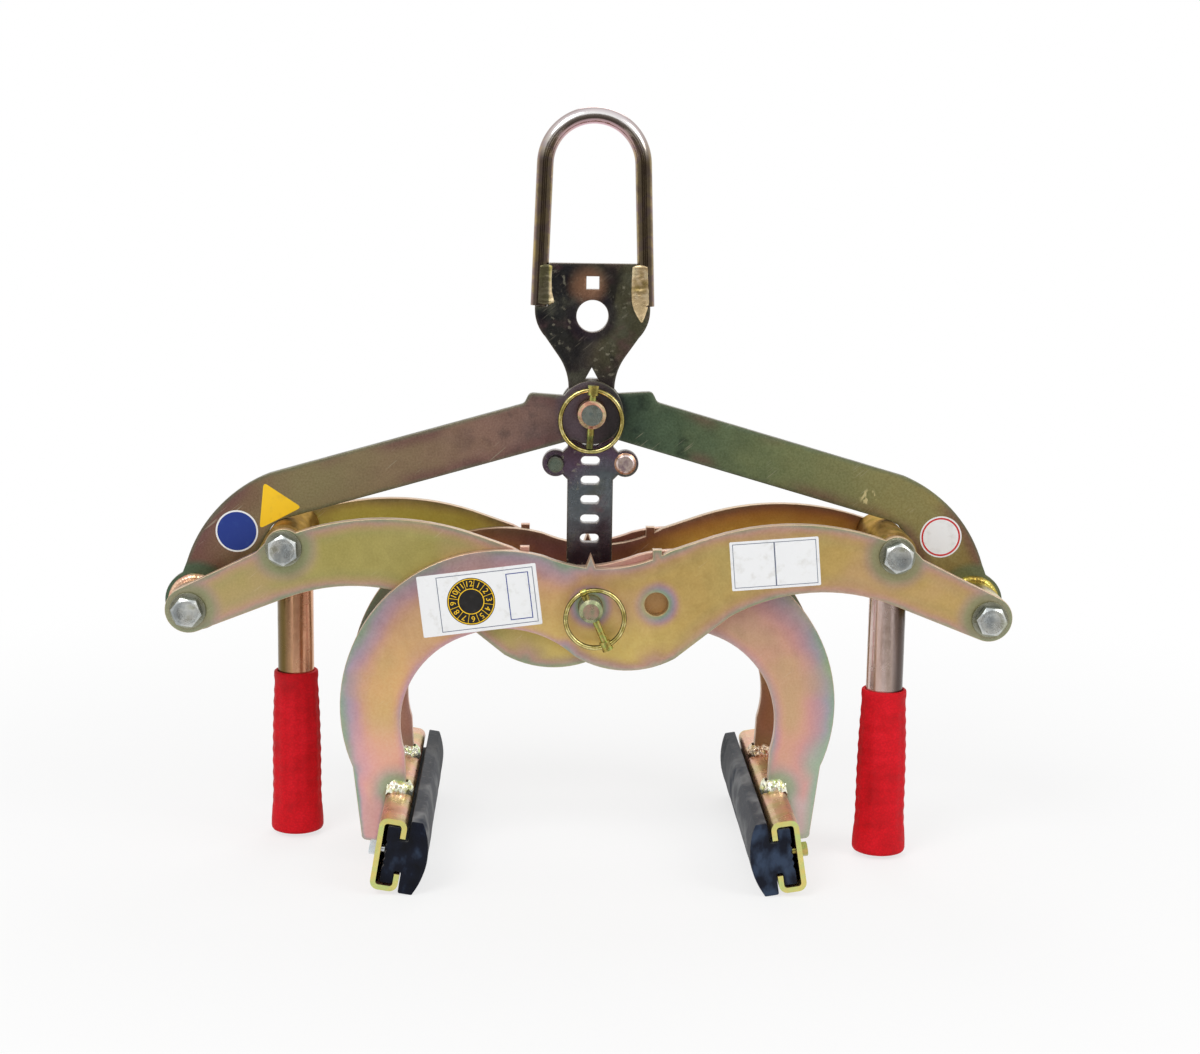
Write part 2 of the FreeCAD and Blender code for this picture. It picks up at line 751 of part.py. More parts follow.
def draw_pad(drawing):
    """The rubber pad's section: toothed head in the channel, neck between the lips, crowned gripping block."""
    half = S["pad_height"] / 2
    block = S["channel_depth"] + S["pad_lip_gap"]
    low_block = S["channel_depth"] + S["pad_low_gap"]
    head_half = S["pad_head_height"] / 2
    neck_half = S["pad_neck_height"] / 2
    head_back = S["channel_sheet"] + S["pad_back_gap"]
    head_front = S["channel_depth"] - S["channel_sheet"] - S["pad_slot_gap"]
    steps = [
        (in_jaw(low_block, -half),),
        (in_jaw(S["pad_edge_depth"], -half),),
        (in_jaw(S["pad_crown_depth"], 0), in_jaw(S["pad_edge_depth"], half)),
        (in_jaw(block, half),),
        (in_jaw(block, neck_half),),
        (in_jaw(head_front, neck_half),),
        (in_jaw(head_front, head_half),),
        (in_jaw(head_back, head_half),),
    ]
    teeth = 4
    pitch = S["pad_head_height"] * 0.5 / teeth
    for tooth in range(teeth):
        top = head_half * 0.5 - pitch * tooth
        steps.append((in_jaw(head_back, top),))
        steps.append((in_jaw(head_back + S["pad_tooth"], top - pitch * 0.5),))
    steps = steps + [
        (in_jaw(head_back, head_half * -0.5),),
        (in_jaw(head_back, -head_half),),
        (in_jaw(head_front, -head_half),),
        (in_jaw(head_front, -neck_half),),
        (in_jaw(low_block, -neck_half),),
    ]
    drawing.outline(steps)


def draw_grip(drawing):
    """Half the section of a grip about its own axis: flared shell, closed below, bored for the tube."""
    top = -S["grip_top_drop"]
    floor = S["grip_floor_gap"] - pivot_height
    bore = S["handle_tube_radius"] + S["seat_clearance"]
    flare = floor + S["grip_flare_height"]
    edge = S["grip_round"]
    spare = edge * (1 - QUARTER_COSINE)
    drawing.outline([
        ((bore, top),),
        ((S["grip_top_radius"] - edge * 0.5, top),),
        ((S["grip_top_radius"], top - edge * 0.5),),
        ((S["grip_belly_radius"], (top + flare) / 2), (S["grip_flare_radius"], flare)),
        ((S["grip_flare_radius"], floor + edge),),
        ((S["grip_flare_radius"] - spare, floor + spare), (S["grip_flare_radius"] - edge, floor)),
        ((ZERO, floor),),
        ((ZERO, floor + S["grip_cap"]),),
        ((bore, floor + S["grip_cap"]),),
    ])


def bolt(label, x, front, z, length, turn):
    """A hexagon bolt with a washer under its head, seated at y = front, pointing to the back. Turn is the angle of
    one of the head's corners from +X."""
    head = hexagon(label + "_head", S["bolt_flats"], S["bolt_head"])
    place(head, 0, 0, S["washer_thickness"], FreeCAD.Rotation(FreeCAD.Vector(0, 0, 1), turn))
    washer = cylinder(label + "_washer", S["washer_radius"], S["washer_thickness"])
    shank = cylinder(label + "_shank", S["bolt_radius"], length - S["bolt_point"] / 2)
    point = cone(label + "_point", S["bolt_radius"], S["bolt_radius"] - S["bolt_point"] / 2, S["bolt_point"] / 2)
    place(shank, 0, 0, -(length - S["bolt_point"] / 2))
    place(point, 0, 0, -(length - S["bolt_point"] / 2), FreeCAD.Rotation(FreeCAD.Vector(1, 0, 0), 180))
    whole = fuse(label, [head, washer, shank, point])
    place(whole, x, front, z, AGAINST_Y)
    return keep(whole, label)


def nut(label, x, seat, z):
    """A hexagon nut on the back plate, its seat at y = seat."""
    block = hexagon(label + "_block", S["bolt_flats"], S["nut_height"])
    bore = cylinder(label + "_bore", S["bolt_radius"] + S["seat_clearance"], S["nut_height"] + 2)
    place(bore, 0, 0, -1)
    whole = cut(label, block, bore)
    place(whole, x, seat, z, ALONG_Y)
    return keep(whole, label)


def build_arm(side, sign, rotation, front, back):
    """One arm with everything fastened to it. sign is +1 for the right handle, -1 for the left one."""
    arm = side + "_arm"
    thickness = S["plate_thickness"]
    plate(arm + "_front_plate", draw_arm, thickness, front, pivot_height, rotation)
    plate(arm + "_back_plate", draw_arm, thickness, back, pivot_height, rotation)
    span = back - front - thickness
    total = span + thickness * 2 + S["nut_height"] + S["bolt_point"]
    inner_face = front + thickness
    for name, pin in (("outer", outer_pin), ("handle", handle_pin)):
        x = pin[0] * sign
        z = pin[1] + pivot_height
        bolt("%s_%s_bolt" % (arm, name), x, front, z, total, SIZES["%s_%s_bolt_turn" % (side, name)])
        nut("%s_%s_nut" % (arm, name), x, back + thickness, z)

    spacer = tube(arm + "_handle_spacer", S["handle_spacer_radius"], S["bolt_radius"] + S["seat_clearance"], span)
    spacer_place = (handle_pin[0] * sign, inner_face, handle_pin[1] + pivot_height)
    place(spacer, *spacer_place, ALONG_Y)
    keep(spacer, arm + "_handle_spacer")

    handle_y = S["handle_offset"] * -sign
    low = S["grip_floor_gap"] + S["grip_cap"]
    high = handle_pin[1] + pivot_height
    pipe = tube(arm + "_handle_pipe", S["handle_tube_radius"], S["handle_tube_radius"] - S["handle_tube_wall"],
                high - low)
    place(pipe, handle_pin[0] * sign, handle_y, low)
    saddle = cylinder(arm + "_handle_saddle", S["handle_spacer_radius"] + S["seat_clearance"], span)
    place(saddle, *spacer_place, ALONG_Y)
    keep(cut(arm + "_handle_tube", pipe, saddle), arm + "_handle_tube")

    grip = doc.addObject("PartDesign::Body", arm + "_handle_grip")
    drawing = Drawing(grip, arm + "_grip_drawing", "XZ_Plane")
    draw_grip(drawing)
    turned = grip.newObject("PartDesign::Revolution", arm + "_grip_turned")
    turned.Profile = drawing.finish()
    turned.ReferenceAxis = (drawing.sketch, ["V_Axis"])
    turned.Angle = 360
    place(grip, handle_pin[0] * sign, handle_y, pivot_height)
    keep(grip, arm + "_handle_grip")

    build_jaw(arm, rotation)


def build_jaw(arm, rotation):
    """The channel, pad and clamping screws of one arm; the left arm's are the right arm's, turned round."""
    channel = plate(arm + "_channel_section", draw_channel, S["jaw_length"], -jaw_half_length, ZERO)
    pieces.pop(arm + "_channel_section")
    web_middle = in_jaw(0, 0)
    hole_start = in_jaw(2 * S["channel_sheet"], 0)
    tilt = FreeCAD.Rotation(FreeCAD.Vector(0, 1, 0), SIZES["jaw_tilt"] - 90)
    screw_places = (S["screw_end_distance"] - jaw_half_length, jaw_half_length - S["screw_end_distance"])
    holes = []
    screws = []
    for number, y in enumerate(screw_places, start=1):
        name = "%s_screw_%d" % (arm, number)
        hole = cylinder(name + "_hole", S["screw_radius"] + S["seat_clearance"], S["channel_sheet"] * 4)
        place(hole, hole_start[0], y, hole_start[1], tilt)
        holes.append(hole)
        head = hexagon(name + "_head", S["screw_flats"], S["screw_head"])
        shank_length = S["channel_sheet"] + S["pad_back_gap"] - S["side_clearance"]
        shank = cylinder(name + "_shank", S["screw_radius"], shank_length)
        place(shank, 0, 0, -shank_length)
        screw = fuse(name, [head, shank])
        place(screw, web_middle[0], y, web_middle[1], tilt)
        screws.append(screw)
    drilled = cut(arm + "_jaw_channel", channel, fuse(arm + "_screw_holes", holes))
    place(drilled, 0, 0, pivot_height, rotation)
    keep(drilled, arm + "_jaw_channel")
    pair = doc.addObject("Part::Compound", arm + "_jaw_screws")
    pair.Links = screws
    place(pair, 0, 0, pivot_height, rotation)
    keep(pair, arm + "_jaw_screws")
    plate(arm + "_jaw_pad", draw_pad, S["jaw_length"], -jaw_half_length, pivot_height, rotation)


def build_link(side, sign, rotation):
    """One link plate and the bearing hub welded through its outer eye."""
    thickness = S["link_thickness"]
    face = S["hanger_thickness"] / 2 + S["link_gap"]
    if sign < 0:
        face = -(face + thickness)

    def draw(drawing):
        draw_link(drawing, slotted=sign > 0)

    plate(side + "_link_plate", draw, thickness, face, pivot_height, rotation)
    inner = left_arm_front + S["plate_thickness"] + S["side_clearance"]
    span = left_arm_back - left_arm_front - S["plate_thickness"] - 2 * S["side_clearance"]
    hub = tube(side + "_link_hub", S["hub_radius"], S["bolt_radius"] + S["running_clearance"], span)
    start = inner
    if sign > 0:
        start = -(inner + span)
    place(hub, outer_pin[0] * sign, start, outer_pin[1] + pivot_height, ALONG_Y)
    keep(hub, side + "_link_hub")


def pivot_pin(label, radius, head_radius, head_thickness, back, nose, linch_y, linch_lean, height):
    """A headed pivot pin from y = back to its nose, with a cross hole for its linch pin."""
    length = back - nose
    shank = cylinder(label + "_shank", radius, length - S["pin_point_chamfer"])
    point = cone(label + "_point", radius, radius - S["pin_point_chamfer"], S["pin_point_chamfer"])
    place(point, 0, 0, length - S["pin_point_chamfer"])
    head = cylinder(label + "_head", head_radius, head_thickness)
    place(head, 0, 0, -head_thickness)
    whole = fuse(label + "_turned", [shank, point, head])
    place(whole, 0, back, height, AGAINST_Y)
    drill = cylinder(label + "_drill", S["linch_radius"] + S["seat_clearance"], 4 * radius)
    lean = FreeCAD.Rotation(FreeCAD.Vector(0, 1, 0), linch_lean.value)
    drill_start = (sine(linch_lean) * radius * -2, cosine(linch_lean) * radius * -2)
    place(drill, drill_start[0], linch_y, drill_start[1] + height, lean)
    return keep(cut(label, whole, drill), label)


def linch(label, linch_y, lean_angle, reach, height, ring_radius):
    """A linch pin whose ring hinge stands `reach` out from the pivot, and its spring ring.

    The pin runs from its head through the pivot pin; lean_angle turns the head away from straight up.
    """
    lean = FreeCAD.Rotation(FreeCAD.Vector(0, 1, 0), lean_angle.value)
    across = FreeCAD.Rotation(FreeCAD.Vector(0, 1, 0), lean_angle.value + 90)
    hinge = (sine(lean_angle) * reach, cosine(lean_angle) * reach + height)
    length = 2 * ring_radius - S["ring_wire_radius"] - S["ring_tip_gap"]
    shank = cylinder(label + "_shank", S["linch_radius"], length)
    place(shank, 0, 0, -length)
    head = cylinder(label + "_head", S["linch_head_radius"], S["linch_head_length"])
    place(head, 0, 0, S["linch_head_length"] / -2)
    blank = fuse(label + "_blank", [shank, head])
    place(blank, hinge[0], linch_y, hinge[1], lean)
    eye = cylinder(label + "_eye", S["ring_wire_radius"] + S["ring_hole_play"], 4 * S["linch_head_radius"])
    eye_start = (hinge[0] - cosine(lean_angle) * S["linch_head_radius"] * 2,
                 hinge[1] + sine(lean_angle) * S["linch_head_radius"] * 2)
    place(eye, eye_start[0], linch_y, eye_start[1], across)
    keep(cut(label + "_pin", blank, eye), label + "_pin")
    ring = doc.addObject("Part::Torus", label + "_ring")
    bind(ring, "Radius1", ring_radius)
    bind(ring, "Radius2", S["ring_wire_radius"])
    place(ring, hinge[0] - sine(lean_angle) * ring_radius, linch_y, hinge[1] - cosine(lean_angle) * ring_radius, ALONG_Y)
    keep(ring, label + "_ring")


def build_pivots():
    """The lower pivot with its spacer, and the upper pivot, each locked by a linch pin in front."""
    lower_nose = right_arm_front - S["lower_pin_nose"]
    lower_linch = lower_nose + S["linch_setback"]
    lower_back = left_arm_back + S["plate_thickness"] + S["side_clearance"]
    pivot_pin("lower_pivot_pin", S["lower_pin_radius"], S["lower_head_radius"], S["lower_head_thickness"],
              lower_back, lower_nose, lower_linch, S["lower_linch_lean"], pivot_height)
    linch("lower_linch", lower_linch, S["lower_linch_lean"], S["lower_linch_reach"], pivot_height,
          S["lower_ring_radius"])
    spacer_half = S["clear_half_width"] - S["side_clearance"]
    spacer = tube("lower_spacer_tube", S["lower_spacer_radius"],
                  S["lower_pin_radius"] + S["seat_clearance"], spacer_half * 2)
    place(spacer, 0, -spacer_half, pivot_height, ALONG_Y)
    keep(spacer, "lower_spacer_tube")
    stack = S["hanger_thickness"] / 2 + S["link_gap"] + S["link_thickness"]
    upper_height = pivot_height + S["upper_pivot_rise"]
    upper_nose = -(stack + S["upper_pin_nose"])
    upper_linch = upper_nose + S["linch_setback"] - 1
    pivot_pin("upper_pivot_pin", S["upper_pin_radius"], S["upper_head_radius"], S["upper_head_thickness"],
              stack + S["side_clearance"], upper_nose, upper_linch, S["upper_linch_lean"], upper_height)
    linch("upper_linch", upper_linch, S["upper_linch_lean"], S["upper_linch_reach"], upper_height,
          S["upper_ring_radius"])


def build_hanger():
    """The suspension plate, its stop studs and the bail."""
    plate("suspension_plate", draw_hanger, S["hanger_thickness"], S["hanger_thickness"] / -2, pivot_height)
    for side, sign in (("left", -1), ("right", 1)):
        label = side + "_stop_stud"
        length = S["hanger_thickness"] + S["stud_length"]
        shank = cylinder(label + "_shank", S["stud_radius"], length)
        weld = cone(label + "_weld", S["stud_weld_radius"], S["stud_radius"], S["stud_weld_height"])
        place(weld, 0, 0, 0, FreeCAD.Rotation(FreeCAD.Vector(1, 0, 0), 180))
        whole = fuse(label, [shank, weld])
        face = S["hanger_thickness"] / 2 * -sign
        turn = ALONG_Y
        if sign < 0:
            turn = AGAINST_Y
        place(whole, ear[0] * sign, face, ear[1] + pivot_height, turn)
        keep(whole, label)
    build_bail()


def build_bail():
    """A round bar swept up one leaning leg, round the half ring and down the other leg."""
    bail = doc.addObject("PartDesign::Body", "lifting_bail")
    foot = bail_leg(step_rise + S["bail_weld_gap"] + S["bail_bar_radius"] * sine(S["bail_lean"]))
    path = Drawing(bail, "bail_path", "XZ_Plane")
    strokes = [
        path.stroke(foot, (bail_bend,)),
        path.stroke(bail_bend, (shifted(bail_crown, ZERO, S["bail_half_width"]), mirrored(bail_bend))),
        path.stroke(mirrored(bail_bend), (mirrored(foot),)),
    ]
    path.thread(foot, strokes)
    section = Drawing(bail, "bail_section", "XY_Plane")
    section.circle((ZERO, ZERO), S["bail_bar_radius"])
    ring = section.finish()
    square_to_leg = FreeCAD.Rotation(FreeCAD.Vector(0, 1, 0), -SIZES["bail_lean"])
    ring.AttachmentOffset = FreeCAD.Placement(FreeCAD.Vector(foot[0].value, 0, foot[1].value), square_to_leg)
    ring.setExpression("AttachmentOffset.Base.x", foot[0].text)
    ring.setExpression("AttachmentOffset.Base.z", foot[1].text)
    sweep = bail.newObject("PartDesign::AdditivePipe", "bail_sweep")
    sweep.Profile = ring
    sweep.Spine = (path.finish(), ["Edge1", "Edge2", "Edge3"])
    place(bail, 0, 0, pivot_height)
    keep(bail, "lifting_bail")


build_arm("right", 1, UPRIGHT, right_arm_front, right_arm_back)
build_arm("left", -1, HALF_TURN, left_arm_front, left_arm_back)
build_link("left", -1, UPRIGHT)
build_link("right", 1, HALF_TURN)
build_pivots()
build_hanger()
doc.recompute()

faults = [item.Name for item in doc.Objects if {"Invalid", "Error"} & set(item.State)]
for label, piece in pieces.items():
    if piece.Shape.isNull() or not piece.Shape.isValid() or not piece.Shape.Solids:
        faults.append(label)
if faults:
    raise RuntimeError("not built: " + ", ".join(faults))

os.makedirs("parts", exist_ok=True)
for label, piece in pieces.items():
    piece.Shape.exportStep("parts/%s.step" % label)
print("%d pieces, lower pivot %.2f mm above the floor" % (len(pieces), pivot_height.value))
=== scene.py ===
"""Lifting tongs: the looks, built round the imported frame. Lengths are millimetres until a mesh is made."""
import math

import bmesh
import bpy
import numpy as np
from mathutils import Matrix, Vector, geometry, kdtree, noise


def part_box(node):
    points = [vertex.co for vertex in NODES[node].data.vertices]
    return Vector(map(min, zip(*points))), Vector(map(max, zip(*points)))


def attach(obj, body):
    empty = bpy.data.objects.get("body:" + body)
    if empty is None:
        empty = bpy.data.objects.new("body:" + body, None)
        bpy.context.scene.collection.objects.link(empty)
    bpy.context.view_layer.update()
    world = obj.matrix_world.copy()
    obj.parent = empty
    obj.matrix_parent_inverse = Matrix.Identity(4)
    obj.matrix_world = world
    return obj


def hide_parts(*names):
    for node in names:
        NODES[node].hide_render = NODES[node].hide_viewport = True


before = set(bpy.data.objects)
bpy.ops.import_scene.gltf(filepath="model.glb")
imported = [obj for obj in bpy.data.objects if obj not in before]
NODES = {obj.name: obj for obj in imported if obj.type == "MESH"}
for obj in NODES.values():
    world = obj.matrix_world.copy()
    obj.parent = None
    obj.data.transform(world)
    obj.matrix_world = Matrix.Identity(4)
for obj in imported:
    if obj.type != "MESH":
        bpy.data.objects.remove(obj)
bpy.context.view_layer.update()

MM = 0.001
SIDES = (("right", 1), ("left", -1))

# Places of the part's own joints and faces, in the row frame
LOWER_PIVOT = (0.0, 208.38)
UPPER_PIVOT = (0.0, 352.88)
SECOND_HOLE = (51.0, 210.38)
OUTER_PIN = (310.0, 200.88)
HANDLE_PIN = (236.0, 249.88)
HANDLE_OFFSET, SPACER_RADIUS, TUBE_RADIUS = 24.5, 16.85, 14.5
HUB_RADIUS = 17.9
STUD_X, STUD_Z = 27.5, 311.68
LINK_FACES = {"right": (5.5, 13.5), "left": (-13.5, -5.5)}
ARM_PLATES = {"right": ((-60.0, -52.0), (43.0, 51.0)), "left": ((-51.0, -43.0), (52.0, 60.0))}
CARD_FACE = ARM_PLATES["right"][0][0]
JAW_REACH, JAW_DROP, JAW_TILT = 161.0, 175.0, math.radians(9.3)
CHANNEL_HALF, CHANNEL_DEPTH, CHANNEL_CORNER, CHANNEL_END = 28.0, 21.0, 6.5, 131.0
SEAT_COVER = 15.0
FOOT_TOP = 24.0
BOW_CENTRE, BOW_RADIUS = (-69.0, LOWER_PIVOT[1] - 81.0), 124.0
CROWN_Z, CROWN_INNER, CROWN_BAR = 543.48, 31.5, 13.0
HANGER_STEP, HOOK_HOLE_Z = 434.9, 427.58
SQUARE_GLOW = (-4.0, 451.0)
SCUFF = (222.5, 285.5)


def tone(red, green, blue):
    """A colour written as it looks on a screen, 0 to 255, as linear values."""
    def linear(part):
        part = part / 255.0
        return part / 12.92 if part <= 0.04045 else ((part + 0.055) / 1.055) ** 2.4
    return (linear(red), linear(green), linear(blue), 1.0)


def link_object(name, data):
    piece = bpy.data.objects.new(name, data)
    bpy.context.scene.collection.objects.link(piece)
    return piece


class Nodes:
    """Short ways to add nodes to a tree. A colour is a socket, or red, green and blue as tone takes them."""

    def __init__(self, tree):
        self.tree = tree

    def node(self, kind, inputs=None, **settings):
        made = self.tree.nodes.new(kind)
        for name, value in settings.items():
            setattr(made, name, value)
        for key, value in (inputs or {}).items():
            self.feed(made.inputs[key], value)
        return made

    def feed(self, socket, value):
        if isinstance(value, bpy.types.NodeSocket):
            self.tree.links.new(value, socket)
        else:
            socket.default_value = tone(*value) if socket.type == "RGBA" else value

    def maths(self, operation, first, second=0.0, third=0.0):
        return self.node("ShaderNodeMath", {0: first, 1: second, 2: third}, operation=operation).outputs[0]

    def times(self, first, second):
        return self.maths("MULTIPLY", first, second)

    def plus(self, first, second):
        return self.maths("ADD", first, second)

    def minus(self, first, second):
        return self.maths("SUBTRACT", first, second)

    def over(self, first, second):
        return self.maths("DIVIDE", first, second)

    def size(self, value):
        return self.maths("ABSOLUTE", value)

    def length(self, first, second):
        return self.maths("SQRT", self.plus(self.times(first, first), self.times(second, second)))

    def seen(self):
        """1 for the camera's rays, and for those by which metal and glass show the stage."""
        paths = self.node("ShaderNodeLightPath").outputs
        straight = self.plus(paths["Is Camera Ray"], paths["Is Glossy Ray"])
        return self.maths("MINIMUM", self.plus(straight, paths["Is Transmission Ray"]), 1.0)

    def shine(self, shader):
        """Makes a shader the material's surface, in place of the one that it came with."""
        self.tree.links.new(shader.outputs[0], self.tree.nodes["Material Output"].inputs["Surface"])
        self.tree.nodes.remove(self.tree.nodes["Principled BSDF"])


class Finish(Nodes):
    """A material in the making: its nodes read the row frame's own coordinates, in millimetres."""

    def __init__(self, name, **constants):
        self.material = bpy.data.materials.new(name)
        self.material.use_nodes = True
        super().__init__(self.material.node_tree)
        self.shader = self.tree.nodes["Principled BSDF"]
        for socket, value in constants.items():
            self.shader.inputs[socket.replace("_", " ")].default_value = value
        self.place = self.node("ShaderNodeTexCoord").outputs["Object"]
        apart = self.node("ShaderNodeSeparateXYZ", {"Vector": self.place})
        self.x, self.y, self.z = (self.times(apart.outputs[axis], 1000.0) for axis in "XYZ")

    def rise(self, value, low, high, top=1.0, foot=0.0):
        """Goes smoothly from foot at low to top at high."""
        made = self.node("ShaderNodeMapRange", {"Value": value, "From Min": low, "From Max": high,
                                                "To Min": foot, "To Max": top}, interpolation_type="SMOOTHSTEP")
        return made.outputs[0]

    def stretched(self, where, stretch):
        return self.node("ShaderNodeVectorMath", {0: where, 1: stretch}, operation="MULTIPLY").outputs[0]

    def noise(self, size, detail=2.0, stretch=None):
        """Mottling with lumps of about this size in millimetres."""
        where = self.stretched(self.place, stretch) if stretch else self.place
        made = self.node("ShaderNodeTexNoise", {"Vector": where, "Scale": 1000.0 / size, "Detail": detail})
        return made.outputs["Fac"]

    def uneven(self, size, top, foot, detail=3.0):
        """Mottling between two values."""
        return self.rise(self.noise(size, detail), 0.3, 0.7, top, foot)

    def facing(self, axis):
        """How squarely the surface faces along an axis of the row frame, either way, 0 to 1."""
        normal = self.node("ShaderNodeTexCoord").outputs["Normal"]
        return self.size(self.node("ShaderNodeSeparateXYZ", {"Vector": normal}).outputs[axis])

    def attribute(self, name):
        return self.node("ShaderNodeAttribute", attribute_name=name).outputs["Fac"]

    def from_point(self, x, z):
        """How far, in millimetres, a point is from an axis along y."""
        return self.length(self.minus(self.x, x), self.minus(self.z, z))

    def ramp(self, factor, stops):
        """Stops are a position with red, green and blue."""
        made = self.node("ShaderNodeValToRGB", {"Fac": factor})
        points = made.color_ramp.elements
        while len(points) < len(stops):
            points.new(0.5)
        for point, (position, *colour) in zip(points, stops):
            point.position = position
            point.color = tone(*colour)
        return made.outputs["Color"]

    def mix(self, factor, low, high, blend="MIX"):
        made = self.node("ShaderNodeMix", {0: factor, 6: low, 7: high}, data_type="RGBA", blend_type=blend)
        return made.outputs[2]

    def where(self, *bands):
        """The product of some bands, each a value or what rise takes."""
        total, *others = (self.rise(*band) if isinstance(band, tuple) else band for band in bands)
        for value in others:
            total = self.times(total, value)
        return total

    def tint(self, colour, *bands):
        """Lays a colour over the film as far as all the bands reach."""
        self.colour = self.mix(self.where(*bands), self.colour, colour)

    def grained(self, size, share, dark, light):
        """Lays fine grey specks over the film, as soft light."""
        self.speck = self.noise(size)
        greys = self.ramp(self.speck, [(0.3, dark, dark, dark), (0.7, light, light, light)])
        self.colour = self.mix(share, self.colour, greys, "SOFT_LIGHT")

    def scratched(self, size, share, colour):
        """Lays short thin marks over the film, in scattered patches and running up to the right."""
        slanted = self.node("ShaderNodeVectorRotate", {"Vector": self.place, "Angle": 0.7}, rotation_type="Y_AXIS")
        where = self.stretched(slanted.outputs[0], (0.7, 1.0, 20.0))
        fine = self.node("ShaderNodeTexNoise", {"Vector": where, "Scale": 1000.0 / size, "Detail": 1.0}).outputs["Fac"]
        self.tint(colour, (fine, 0.66, 0.72), (self.noise(size * 1.6, 1.0), 0.55, 0.68), share)

    def surface(self, rough, height, depth):
        self.feed(self.shader.inputs["Base Color"], self.colour)
        self.feed(self.shader.inputs["Roughness"], rough)
        made = self.node("ShaderNodeBump", {"Height": height, "Distance": depth * MM, "Strength": 1.0})
        self.feed(self.shader.inputs["Normal"], made.outputs["Normal"])
        return self.material


# Films by the distance from a plate's outline: along the bow, and along the arch
ARM_FILMS = {
    "right": (
        [(0.00, 150, 176, 152), (0.07, 164, 172, 168), (0.18, 186, 166, 182), (0.36, 208, 164, 172),
         (0.54, 228, 174, 148), (0.74, 236, 186, 134), (1.00, 236, 190, 132)],
        [(0.00, 150, 160, 128), (0.08, 178, 164, 144), (0.22, 204, 162, 140), (0.44, 204, 168, 114),
         (0.72, 202, 172, 108), (1.00, 208, 176, 106)]),
    "left": (
        [(0.00, 146, 178, 150), (0.08, 158, 176, 164), (0.20, 176, 168, 178), (0.38, 202, 160, 168),
         (0.60, 222, 164, 158), (0.80, 228, 172, 150), (1.00, 224, 172, 146)],
        [(0.00, 142, 156, 126), (0.10, 168, 160, 138), (0.22, 196, 160, 140), (0.42, 192, 168, 118),
         (0.66, 180, 170, 104), (1.00, 184, 172, 100)]),
}
INNER_FILMS_AND_SHADE = {
    "right": [(0.0, 122, 80, 56), (0.2, 152, 96, 56), (0.5, 190, 132, 62), (1.0, 206, 156, 68)],
    "left": [(0.0, 136, 112, 68), (0.2, 176, 156, 84), (0.5, 204, 188, 94), (1.0, 210, 194, 96)],
}
INNER_JAWS = {"right": (182, 142, 130), "left": (152, 94, 66)}
KNEES = {"right": 128.0, "left": 104.0}
SHINS = {"right": (248, 184, 182), "left": (234, 178, 172)}
FEET = {"right": (222, 178, 176), "left": (206, 190, 190)}
BY_PIN = [(0.0, 150, 172, 140), (0.16, 124, 168, 156), (0.34, 150, 152, 182), (0.54, 188, 148, 168),
          (0.8, 208, 164, 134), (1.0, 208, 172, 122)]
BY_BOLT = [(0.0, 140, 146, 118), (0.5, 152, 160, 128), (0.76, 180, 154, 150), (1.0, 204, 168, 136)]
BY_WELD = [(0.0, 176, 190, 138), (0.45, 158, 182, 156), (0.64, 188, 180, 176), (1.0, 228, 178, 164)]


